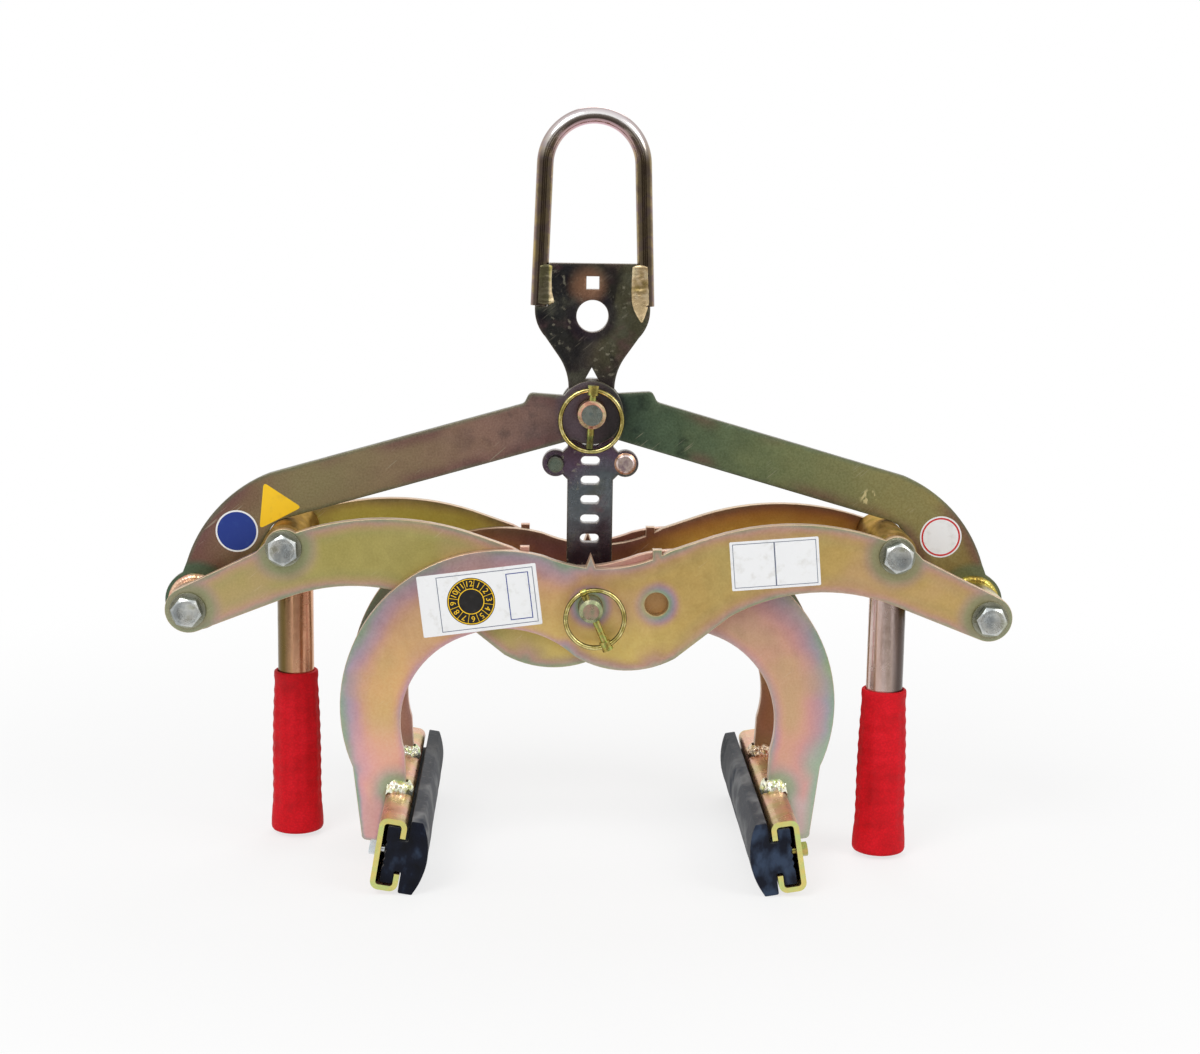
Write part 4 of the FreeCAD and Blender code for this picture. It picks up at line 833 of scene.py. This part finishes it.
for side, sign in SIDES:
    def from_bow(x, z, sign=sign):
        return math.hypot(x * sign - BOW_CENTRE[0], z - BOW_CENTRE[1])

    def on_bow(x, z):
        return abs(from_bow(x, z) - BOW_RADIUS) < 0.6

    def under_bow(x, z, sign=sign):
        return x * sign < -20.0 and z < 205.0 and 55.0 < from_bow(x, z) < 112.0

    for face, (front, back) in zip(("front", "back"), ARM_PLATES[side]):
        node = f"{side}_arm_{face}_plate"
        outline, *holes = outline_of(node)
        outline = rounded(outline, 7.0, below=FOOT_TOP)
        piece = slab(node + "_skin", [outline] + holes, front, back, PLATE_RIM, PLATE_GRID,
                     wide=on_bow, plain=under_bow)
        inner_face = back if face == "front" else front
        dress(piece, side + "_arm", arm_finish(side, sign, inner_face))
        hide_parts(node)
    node = side + "_link_plate"
    outline, *holes = outline_of(node)
    piece = slab(node + "_skin", [rounded(outline, 5.0)] + holes, *depth_of(node), PLATE_RIM, PLATE_GRID)
    dress(piece, side + "_link", link_finish(side))
    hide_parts(node)
piece = slab("suspension_plate_skin", outline_of("suspension_plate"), *depth_of("suspension_plate"), 0.6, 2.6)
dress(piece, "suspension", hanger_finish())
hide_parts("suspension_plate")

# Grips: a flared sleeve with a quilted skin and a rolled lip round the tube
GRIP_TOP, GRIP_SIDES, QUILT, QUILT_HEIGHT = 136.38, 112, math.pi / 10.0, 0.5
BODY_TOP, BODY_FOOT = GRIP_TOP - 1.5, 6.4
GRIP_BODY = [(BODY_FOOT, 21.2), (12.0, 21.1), (20.0, 20.5), (30.0, 19.6), (44.0, 19.5), (70.0, 19.45), (96.0, 18.9),
             (118.0, 17.9), (GRIP_TOP - 9.0, 17.35), (GRIP_TOP - 5.0, 17.9), (BODY_TOP, 17.75)]
GRIP_LIP = [(TUBE_RADIUS + 0.05, GRIP_TOP - 2.4), (TUBE_RADIUS + 0.3, GRIP_TOP - 0.6),
            (TUBE_RADIUS + 1.1, GRIP_TOP - 0.05), (16.6, GRIP_TOP - 0.1), (17.45, GRIP_TOP - 0.7)]
GRIP_FOOT = [(20.9, 4.9), (20.2, 3.7), (18.9, 3.1), (15.0, 3.0), (8.0, 3.0), (0.8, 3.0)]


def clamped(value):
    return min(1.0, max(0.0, value))


heights, radii = zip(*GRIP_BODY)
grip_line = [(radius, z, 0.0) for radius, z in GRIP_LIP]
for z in np.linspace(BODY_TOP, BODY_FOOT, 150):
    quilt = clamped((GRIP_TOP - 10.0 - z) / 8.0) * clamped((z - 18.0) / 10.0)
    grip_line.append((float(np.interp(z, heights, radii)), z, quilt))
grip_line += [(radius, z, 0.0) for radius, z in GRIP_FOOT]
grip_material = grip_finish()
for side, sign in SIDES:
    rings = []
    for radius, z, quilt in grip_line:
        ring = []
        for angle in turns(GRIP_SIDES):
            weave = math.cos(6 * angle + z * QUILT) * math.cos(6 * angle - z * QUILT)
            reach = radius + quilt * (QUILT_HEIGHT * weave - 0.1)
            ring.append((sign * HANDLE_PIN[0] + reach * math.cos(angle),
                         -sign * HANDLE_OFFSET + reach * math.sin(angle), z))
        rings.append(ring[::-1])
    piece = lofted(side + "_grip", rings)
    dress(piece, side + "_arm", grip_material)
    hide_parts(side + "_arm_handle_grip")

# Jaw pads: the CAD section with soft corners, slightly wavy along its length
PAD_BACK, PAD_WEAR = 133.0, 0.55
rubber = rubber_finish()
for side, sign in SIDES:
    node = side + "_arm_jaw_pad"
    start, end = depth_of(node)
    layers = list(np.arange(start + 6.0, end - 5.0, 5.0))
    piece = slab(side + "_jaw_pad", [rounded(outline_of(node)[0], 1.6)], start, end, 1.0, 2.4, layers)
    for vertex in piece.data.vertices:
        x, y, z = vertex.co / MM
        worn = 0.5 + 0.5 * noise.noise(Vector((y * 0.045, z * 0.06, 2.0 if side == "left" else 5.0)))
        pull = PAD_WEAR * worn if abs(x) < PAD_BACK else 0.0
        vertex.co.x += math.copysign(pull, x) * MM
    dress(piece, side + "_arm", rubber)
    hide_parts(node)


def flange_top(depth):
    """The channel's upper outline: flat between its two bends."""
    flat_start, flat_end = CHANNEL_CORNER, CHANNEL_DEPTH - CHANNEL_CORNER
    over = max(flat_start - depth, depth - flat_end, 0.0)
    return CHANNEL_HALF - CHANNEL_CORNER + math.sqrt(max(0.0, CHANNEL_CORNER ** 2 - over ** 2))


# Weld beads round the seat of each plate on its jaw channel
SEAT_CLIMB, SEAT_SPREAD, SEAT_LEG = 8.5, 5.6, 4.6
INNER_WAY = np.subtract(in_jaw(1.0, 0.0), in_jaw(0.0, 0.0))
UPPER_WAY = np.subtract(in_jaw(0.0, 1.0), in_jaw(0.0, 0.0))
weld = weld_finish("weld_bead", [
    (0.0, 226, 226, 150), (0.35, 250, 250, 224), (0.6, 246, 248, 238), (1.0, 202, 220, 150)])
coppery_weld = weld_finish("weld_bead_coppery", [
    (0.0, 158, 122, 88), (0.35, 214, 178, 146), (0.6, 240, 222, 200), (1.0, 184, 158, 106)])
for side, sign in SIDES:
    for number, (front, back) in enumerate(ARM_PLATES[side]):
        path = [(depth, front, 0.0, -1.0) for depth in np.linspace(-0.6, SEAT_COVER - 0.6, 8)]
        path += [(SEAT_COVER, y, 1.0, 0.0) for y in np.linspace(front + 1.0, back - 1.0, 4)]
        path += [(depth, back, 0.0, 1.0) for depth in np.linspace(SEAT_COVER - 0.6, -0.6, 8)]
        rails = []
        for depth, y, inward, sideways in path:
            foot_depth = depth + SEAT_LEG * inward
            wall = in_jaw(depth + 0.2 * inward, CHANNEL_HALF + SEAT_CLIMB)
            foot = in_jaw(foot_depth, flange_top(foot_depth) - 0.2)
            across, up = INNER_WAY * inward + UPPER_WAY
            rails.append(((sign * wall[0], y, wall[1]), (sign * foot[0], y + SEAT_SPREAD * sideways, foot[1]),
                          (sign * across, sideways, up)))
        piece = bead(f"{side}_seat_weld_{number}", rails, 2.1, 3.0 + 5.0 * number + sign, 3.6, 0.7)
        dress(piece, side + "_arm", coppery_weld if (side, number) == ("left", 1) else weld)

# Weld beads between the bail's legs and the suspension plate, front and back; the right front one runs on below.
# Stations are height, inner and outer distance of the bead's edges from the middle of the plate.
BEAD_REACH, LEG_BEND_X, LEG_BEND_Z, LEG_LEAN = 6.8, 37.975, 544.85, math.tan(math.radians(2.06))
PLATE_FACE = 4.95
BAIL_BEADS = (
    ("right_front", 1, -1, 1.3, 21.0, [
        (423.0, 37.4, 39.4), (428.0, 34.6, 41.0), (433.0, 32.0, 42.6), (438.0, 30.6, 43.6), (446.0, 30.0, 43.4),
        (456.0, 30.0, 42.8), (467.6, 30.6, 42.2)]),
    ("right_back", 1, 1, 1.6, 22.0, [
        (436.0, 31.4, 40.2), (446.0, 30.6, 39.8), (457.0, 30.8, 39.2), (467.4, 31.4, 38.8)]),
    ("left_front", -1, -1, 1.3, 23.0, [
        (436.2, 29.8, 42.8), (439.0, 30.0, 42.6), (446.0, 31.8, 42.2), (456.0, 32.2, 41.8), (467.4, 31.6, 41.2)]),
    ("left_back", -1, 1, 1.7, 24.0, [
        (436.0, 30.4, 41.2), (446.0, 29.8, 40.8), (457.0, 30.0, 40.0), (467.4, 30.8, 39.4)]),
)
bail_weld = bail_weld_finish()
for place, hand, face, swell, seed, stations in BAIL_BEADS:
    rails = []
    for z, inner, outer in stations:
        from_crest = min(0.0, outer - LEG_BEND_X - (LEG_BEND_Z - z) * LEG_LEAN)
        on_bar = math.sqrt(BEAD_REACH ** 2 - from_crest ** 2) if z > HANGER_STEP else PLATE_FACE
        rails.append(((hand * inner, face * PLATE_FACE, z), (hand * outer, face * on_bar, z), (0.0, face, 0.0)))
    piece = bead("bail_weld_" + place, rails, swell, seed, 11.0, 0.22, 0.12, 0.04)
    dress(piece, "suspension", bail_weld)

# Fillet beads round the tops of the handle tubes, where they meet their spacers
copper = hub_finish("hub_copper", [
    (0.0, 166, 112, 94), (0.4, 212, 158, 136), (0.7, 234, 196, 166), (1.0, 192, 152, 116)])
golden = hub_finish("hub_golden", [
    (0.0, 152, 128, 58), (0.4, 196, 176, 82), (0.7, 222, 208, 112), (1.0, 188, 160, 84)])
olive = hub_finish("spacer_olive", [
    (0.0, 138, 114, 68), (0.4, 180, 152, 94), (0.7, 202, 170, 116), (1.0, 162, 146, 86)], 0.34, (190, 162, 112))
FILLET_STEPS, HANDLE_LEG, WIDEST = 49, 2.4, 16.6


def spacer_drop(across):
    """How far the spacer's underside lies below its axis."""
    return math.sqrt(max(0.0, SPACER_RADIUS ** 2 - across ** 2))


for side, sign in SIDES:
    rails = []
    for angle in np.linspace(0.0, 2 * math.pi, FILLET_STEPS):
        across, fore = math.cos(angle), math.sin(angle)
        wide, close = TUBE_RADIUS + HANDLE_LEG, TUBE_RADIUS - 0.1
        top = HANDLE_PIN[1] - spacer_drop(min(WIDEST, wide * abs(across)))
        low = HANDLE_PIN[1] - spacer_drop(TUBE_RADIUS * across) - HANDLE_LEG
        rails.append(((sign * HANDLE_PIN[0] + wide * 0.97 * across, -sign * HANDLE_OFFSET + wide * fore, top + 0.2),
                      (sign * HANDLE_PIN[0] + close * across, -sign * HANDLE_OFFSET + close * fore, low),
                      (across, fore, -0.7)))
    dress(bead(side + "_handle_weld", rails, 0.8, 31.0 + sign, 2.4), side + "_arm", olive)

# Fillet beads between each link plate and its hub
HUB_LEG, HUB_WELD_RADIUS = 3.4, 21.6
for side, sign in reversed(SIDES):
    for number, (y, outward) in enumerate(zip(LINK_FACES[side], (-1.0, 1.0))):
        rails = []
        for angle in np.linspace(0.0, 2 * math.pi, FILLET_STEPS):
            across, up = math.cos(angle), math.sin(angle)
            wide, close = ((sign * OUTER_PIN[0] + reach * across, OUTER_PIN[1] + reach * up)
                           for reach in (HUB_WELD_RADIUS, HUB_RADIUS))
            rails.append(((wide[0], y, wide[1]), (close[0], y + outward * HUB_LEG, close[1]), (across, outward, up)))
        piece = bead(f"{side}_hub_weld_{number}", rails, 0.9, 41.0 + number + sign, 2.8)
        dress(piece, side + "_link", copper if side == "left" else golden)

# Finishes of the CAD pieces that show as they are
channel, bail, zinc, linch, spring = channel_finish(), bail_finish(), zinc_finish(), linch_finish(), ring_finish()
tubes = {
    "right": tube_finish("tube_rose", [
        (0.0, 192, 164, 152), (0.35, 212, 186, 176), (0.6, 222, 200, 194), (1.0, 202, 180, 168)], (44, 32, 24)),
    "left": tube_finish("tube_copper", [
        (0.0, 188, 134, 104), (0.35, 208, 154, 122), (0.6, 220, 168, 134), (1.0, 204, 156, 112)], (84, 72, 22)),
}
screws = {"right": hub_finish("screw_zinc", [(0.0, 176, 192, 204), (0.5, 222, 232, 238), (1.0, 196, 204, 206)]),
          "left": linch}
KEPT = {
    "lifting_bail": bail, "upper_linch_pin": linch, "lower_linch_pin": linch, "upper_linch_ring": spring,
    "lower_linch_ring": spring, "lower_spacer_tube": copper, "left_link_hub": copper, "right_link_hub": golden,
    "upper_pivot_pin": pin_finish(
        "upper_pin", UPPER_PIVOT, [(0.3, 118, 132, 130), (0.5, 148, 156, 150), (0.7, 128, 136, 128)], 8.5,
        [(0.0, 160, 112, 92), (0.35, 206, 158, 132), (0.65, 176, 160, 120), (1.0, 224, 190, 162)]),
    "lower_pivot_pin": pin_finish(
        "lower_pin", LOWER_PIVOT, [(0.3, 176, 146, 128), (0.5, 204, 172, 152), (0.7, 172, 166, 138)], 6.6,
        [(0.0, 128, 142, 104), (0.35, 166, 172, 130), (0.65, 150, 156, 124), (1.0, 196, 192, 152)]),
    "left_stop_stud": pin_finish(
        "left_stud", (-STUD_X, STUD_Z), [(0.3, 100, 116, 106), (0.7, 148, 158, 142)], 5.0,
        [(0.0, 82, 96, 86), (0.5, 134, 138, 120), (1.0, 108, 118, 106)]),
    "right_stop_stud": pin_finish(
        "right_stud", (STUD_X, STUD_Z), [(0.3, 176, 150, 164), (0.5, 236, 218, 214), (0.7, 196, 166, 156)], 7.6,
        [(0.0, 136, 98, 84), (0.5, 200, 158, 130), (1.0, 176, 138, 114)], 0.16),
}
for side, sign in SIDES:
    KEPT.update({f"{side}_arm_jaw_screws": screws[side], f"{side}_arm_handle_spacer": olive,
                 f"{side}_arm_handle_tube": tubes[side], f"{side}_arm_jaw_channel": channel})
for node, finish in KEPT.items():
    for place in NODES[node].material_slots:
        place.material = finish

# Bolts and nuts: chamfered hexagons, washer faces, and thread where the bolt comes through
FLATS, CHAMFER_RADIUS, HEAD, SHANK, WASHER_RADIUS, WASHER = 21.0, 9.8, 8.8, 7.0, 14.0, 2.5
CHAMFER_SLOPE = math.tan(math.radians(30.0))
NUT_BORE, THREAD_STEP, THREAD_DEPTH = 7.02, 1.0, 0.9
HEAD_TURNS = {"right_outer": 54.0, "right_handle": 22.0, "left_outer": 51.0, "left_handle": 33.0}


def about_axis(x, z, profile, turn=0.0):
    """Rings round an axis along y. A profile step is y and a radius, or y and None for the hexagon, with the way that
    the hexagon's chamfer falls away from its round edge. Turn is the angle of a hexagon's corner, in degrees."""
    rings = []
    for y, radius, fall in profile:
        ring = []
        for angle in turns(120):
            hexagon = FLATS / 2 / math.cos(angle % (math.pi / 3) - math.pi / 6)
            reach = hexagon if radius is None else radius
            drop = fall * (reach - CHAMFER_RADIUS) * CHAMFER_SLOPE if fall else 0.0
            around = angle + math.radians(turn)
            ring.append((x + reach * math.cos(around), y + drop, z + reach * math.sin(around)))
        rings.append(ring)
    return rings


for side, sign in SIDES:
    for which, (x, z) in (("outer", OUTER_PIN), ("handle", HANDLE_PIN)):
        bolt, nut = f"{side}_arm_{which}_bolt", f"{side}_arm_{which}_nut"
        (face, tip), (base, top) = depth_of(bolt), depth_of(nut)
        under = face + HEAD
        seat = under + WASHER
        profile = [(face + 0.3, 0.4, 0), (face + 0.28, 5.4, 0), (face + 0.05, 6.5, 0), (face, 7.4, 0),
                   (face + 0.05, CHAMFER_RADIUS - 0.5, 0), (face + 0.3, None, 1), (under - 0.7, None, 0),
                   (under - 0.6, 10.2, 0), (under - 0.02, 10.2, 0), (under, WASHER_RADIUS - 0.5, 0),
                   (under + 0.15, WASHER_RADIUS - 0.12, 0), (under + 0.5, WASHER_RADIUS, 0),
                   (seat - 0.3, WASHER_RADIUS, 0), (seat, WASHER_RADIUS - 0.3, 0), (seat + 0.01, SHANK, 0),
                   (base, SHANK, 0)]
        for step in range(1, int((tip - 1.0 - base) / THREAD_STEP)):
            profile.append((base + step * THREAD_STEP, SHANK if step % 2 else SHANK - THREAD_DEPTH, 0))
        profile += [(tip - 0.9, SHANK - 0.3, 0), (tip, SHANK - 1.6, 0), (tip, 0.4, 0)]
        piece = lofted(bolt + "_skin", about_axis(sign * x, z, profile, HEAD_TURNS[f"{side}_{which}"]), sharp=25.0)
        dress(piece, side + "_arm", zinc)
        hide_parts(bolt)
        profile = [(base, NUT_BORE + 0.6, 0), (base, CHAMFER_RADIUS, 0), (base + 0.05, None, 1),
                   (top - 0.05, None, -1), (top, CHAMFER_RADIUS, 0), (top, NUT_BORE + 0.6, 0),
                   (top - 0.6, NUT_BORE, 0), (base + 0.6, NUT_BORE, 0)]
        piece = lofted(nut + "_skin", about_axis(sign * x, z, profile), endless=True, sharp=25.0)
        dress(piece, side + "_arm", zinc)
        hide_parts(nut)

# The sleeve on the lower ring that snaps over the linch pin's tip
RING_CENTRE, RING_RADIUS, RING_Y, SLEEVE_ANGLE = (3.4, 200.58), 22.5, -70.5, math.radians(113.5)
SLEEVE_PROFILE = ((-7.0, 0.3), (-6.8, 1.9), (-6.0, 2.6), (-3.0, 2.75), (0.0, 2.75), (3.0, 2.75), (6.0, 2.6), (6.8, 1.9),
                  (7.0, 0.3))
rings = []
for turn, reach in SLEEVE_PROFILE:
    around = SLEEVE_ANGLE + math.radians(turn)
    ring = []
    for angle in turns(20):
        from_centre = RING_RADIUS + reach * math.cos(angle)
        ring.append((RING_CENTRE[0] + from_centre * math.cos(around), RING_Y + reach * math.sin(angle),
                     RING_CENTRE[1] + from_centre * math.sin(around)))
    rings.append(ring)
dress(lofted("lower_ring_sleeve", rings), "lower_ring", linch)

# Blank stickers: cards, discs and a patch in plain colours
white = sticker_finish("sticker_white", (238, 239, 240), (206, 204, 198))
blue = sticker_finish("sticker_blue", (22, 52, 138), (44, 76, 150))
yellow = sticker_finish("sticker_yellow", (248, 200, 24), (222, 176, 40))
red = sticker_finish("sticker_red", (204, 46, 48), (188, 70, 66))
black = sticker_finish("sticker_black", (26, 24, 24), (58, 54, 48))
grey = sticker_finish("sticker_grey", (92, 100, 122), (140, 144, 154))
CARD_FILM, INK_FILM = 0.16, 0.05


def joined(name, parts):
    """One piece from several, each with its own material."""
    mesh = bpy.data.meshes.new(name)
    points, faces, owners = [], [], []
    for number, (part, material) in enumerate(parts):
        shift = len(points)
        points.extend(v.co[:] for v in part.data.vertices)
        faces.extend(tuple(shift + c for c in face.vertices) for face in part.data.polygons)
        owners.extend([number] * len(part.data.polygons))
        mesh.materials.append(material)
    mesh.from_pydata(points, [], faces)
    mesh.polygons.foreach_set("material_index", owners)
    mesh.update()
    for part, _ in parts:
        old = part.data
        bpy.data.objects.remove(part)
        bpy.data.meshes.remove(old)
    return link_object(name, mesh)


def foil(name, loops, level=0, face=CARD_FACE):
    """A thin patch on a face that looks towards -y; level says how many films lie under it."""
    start = face - (CARD_FILM if level else 0.0) - INK_FILM * max(0, level - 1)
    return slab(name, loops, start - (INK_FILM if level else CARD_FILM), start + 0.02, 0.02, 3.0)


def band(name, centre, outer, inner, level, face=CARD_FACE):
    return foil(name, [circle(centre, outer), circle(centre, inner)[::-1]], level, face)


def card_frame(corner, along, up):
    """Maps a card's own fractions, from its lower left corner, to x and z."""
    corner, along, up = np.array(corner), np.array(along), np.array(up)
    return lambda a, b: corner + along * a + up * b


def card_sheet(at):
    return foil("card", [rounded(np.array([at(0, 0), at(1, 0), at(1, 1), at(0, 1)]), 1.2)])


def hollow(name, at, left, low, right_edge, high, width_a, width_b):
    """A printed frame on a card, in the card's fractions."""
    outer = np.array([at(left, low), at(right_edge, low), at(right_edge, high), at(left, high)])
    inner = np.array([at(left + width_a, low + width_b), at(left + width_a, high - width_b),
                      at(right_edge - width_a, high - width_b), at(right_edge - width_a, low + width_b)])
    return foil(name, [outer, inner], 1)


DIAL_ALONG = (91.4, 11.9)
DIAL_INNER, DIAL_OUTER, NUMBER_RADIUS, NUMBER_SIZE, TICK_HALF = 10.2, 17.3, 13.7, 6.4, 0.2
card = card_frame((-128.0, 182.4), DIAL_ALONG, (-6.1, 47.8))
dial = card(0.43, 0.5)
parts = [(card_sheet(card), white),
         (hollow("card_line", card, 0.16, 0.05, 0.97, 0.95, 0.006, 0.011), grey),
         (hollow("card_side", card, 0.74, 0.12, 0.93, 0.88, 0.008, 0.014), blue),
         (foil("dial", [circle(dial, 18.6)], 1), black),
         (band("dial_ring", dial, 18.0, DIAL_OUTER, 2), yellow),
         (band("dial_hub", dial, DIAL_INNER, 9.5, 2), yellow)]
number_y = (CARD_FACE - CARD_FILM - INK_FILM - 0.015) * MM
for number in range(1, 13):
    angle = math.radians(90.0 - 30.0 * number) + math.atan2(DIAL_ALONG[1], DIAL_ALONG[0])
    text = bpy.data.curves.new("number", "FONT")
    text.body = str(number)
    text.size = NUMBER_SIZE * MM
    text.align_x, text.align_y = "CENTER", "CENTER"
    text.extrude = 0.02 * MM
    holder = link_object("number", text)
    mesh = bpy.data.meshes.new_from_object(holder.evaluated_get(bpy.context.evaluated_depsgraph_get()))
    bpy.data.objects.remove(holder)
    stand = Matrix.Translation(((dial[0] + NUMBER_RADIUS * math.cos(angle)) * MM, number_y,
                                (dial[1] + NUMBER_RADIUS * math.sin(angle)) * MM))
    mesh.transform(stand @ Matrix.Rotation(math.pi / 2 - angle, 4, "Y") @ Matrix.Rotation(math.pi / 2, 4, "X"))
    parts.append((link_object("number", mesh), yellow))
    across, up = math.cos(angle + math.radians(15.0)), math.sin(angle + math.radians(15.0))
    tick = np.array([(dial[0] + r * across + w * up, dial[1] + r * up - w * across) for r, w in (
        (DIAL_INNER, TICK_HALF), (DIAL_OUTER, TICK_HALF), (DIAL_OUTER, -TICK_HALF), (DIAL_INNER, -TICK_HALF))])
    parts.append((foil("tick", [tick if signed_area(tick) > 0 else tick[::-1]], 2), yellow))
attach(joined("dial_sticker", parts), "right_arm")

card = card_frame((109.4, 221.2), (68.6, 5.5), (-3.4, 38.2))
parts = [(card_sheet(card), white),
         (hollow("card_line", card, 0.03, 0.05, 0.50, 0.95, 0.007, 0.013), grey),
         (hollow("card_line", card, 0.50, 0.05, 0.97, 0.95, 0.007, 0.013), grey)]
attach(joined("blank_sticker", parts), "right_arm")

BLUE_DISC, RED_RIM = (-276.9, 256.5), (282.1, 253.8)
PATCH = np.array([(-255.6, 295.3), (-259.3, 258.4), (-226.1, 275.9)])
face = LINK_FACES["left"][0]
parts = [(foil("disc", [circle(BLUE_DISC, 16.6)], 0, face), white),
         (foil("disc_face", [circle(BLUE_DISC, 15.3)], 1, face), blue)]
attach(joined("blue_disc_sticker", parts), "left_link")
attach(joined("yellow_patch_sticker", [(foil("patch", [rounded(PATCH, 2.2)], 0, face), yellow)]), "left_link")
face = LINK_FACES["right"][0]
parts = [(foil("disc", [circle(RED_RIM, 16.8)], 0, face), white),
         (band("disc_ring", RED_RIM, 15.6, 14.2, 1, face), red)]
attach(joined("red_rim_sticker", parts), "right_link")

# Studio: a pale floor that runs out to white, soft lamps, and dark cards that only reflections see
FLOOR_REACH, WHITE = 40.0, (255, 255, 255)
floor_mesh = bpy.data.meshes.new("floor")
floor_mesh.from_pydata([(-FLOOR_REACH, -FLOOR_REACH, 0.0), (FLOOR_REACH, -FLOOR_REACH, 0.0),
                        (FLOOR_REACH, FLOOR_REACH, 0.0), (-FLOOR_REACH, FLOOR_REACH, 0.0)], [], [(0, 1, 2, 3)])
floor = link_object("floor", floor_mesh)
ground = Finish("pale_floor")
share = ground.times(ground.seen(), ground.rise(ground.length(ground.x, ground.y), 350.0, 1100.0, 1.0, 0.72))
matt = ground.node("ShaderNodeBsdfDiffuse", {"Color": (240, 240, 240)})
glow = ground.node("ShaderNodeEmission", {"Color": WHITE, "Strength": 1.0})
ground.shine(ground.node("ShaderNodeMixShader", {0: share, 1: matt.outputs[0], 2: glow.outputs[0]}))
floor_mesh.materials.append(ground.material)

SKY_LIGHT, SKY_SHOWN = 0.58, 0.42
world = bpy.data.worlds.new("studio")
bpy.context.scene.world = world
world.use_nodes = True
sky = Nodes(world.node_tree)
background = sky.tree.nodes["Background"].inputs
sky.feed(background["Strength"], sky.maths("MULTIPLY_ADD", sky.seen(), SKY_SHOWN, SKY_LIGHT))
sky.feed(background["Color"], WHITE)

LAMPS = (("key_lamp", (-1.1, -1.7, 2.2), (0.0, 0.0, 0.25), 1.3, 28.0),
         ("fill_lamp", (1.6, -1.2, 1.6), (0.0, 0.0, 0.25), 1.2, 12.0),
         ("back_lamp", (0.3, 1.8, 2.0), (0.0, 0.0, 0.3), 1.4, 12.0))
for name, place, target, breadth, power in LAMPS:
    light = bpy.data.lights.new(name, "AREA")
    light.shape = "DISK"
    light.size = breadth
    light.energy = power
    holder = link_object(name, light)
    holder.location = place
    holder.rotation_euler = (Vector(target) - Vector(place)).to_track_quat("-Z", "Y").to_euler()

# The cards' line in y and z, and where each starts and ends along x, in metres
CARD_LINE = [(-0.55, 0.004), (-2.2, 0.004), (-2.6, 0.25), (-2.75, 1.5)]
CARD_SPANS = ((-1.9, -0.62), (-0.40, 0.55), (0.78, 1.9))
points, faces = [], []
for span in CARD_SPANS:
    first = len(points)
    points.extend((x, y, z) for y, z in CARD_LINE for x in span)
    faces.extend((first + 2 * i, first + 2 * i + 1, first + 2 * i + 3, first + 2 * i + 2)
                 for i in range(len(CARD_LINE) - 1))
card_mesh = bpy.data.meshes.new("dark_cards")
card_mesh.from_pydata(points, [], faces)
cards = link_object("dark_cards", card_mesh)
felt = Finish("dark_card")
felt.shine(felt.node("ShaderNodeEmission", {"Color": (150, 144, 136)}))
card_mesh.materials.append(felt.material)
for rays in ("camera", "diffuse", "shadow", "transmission"):
    setattr(cards, "visible_" + rays, False)
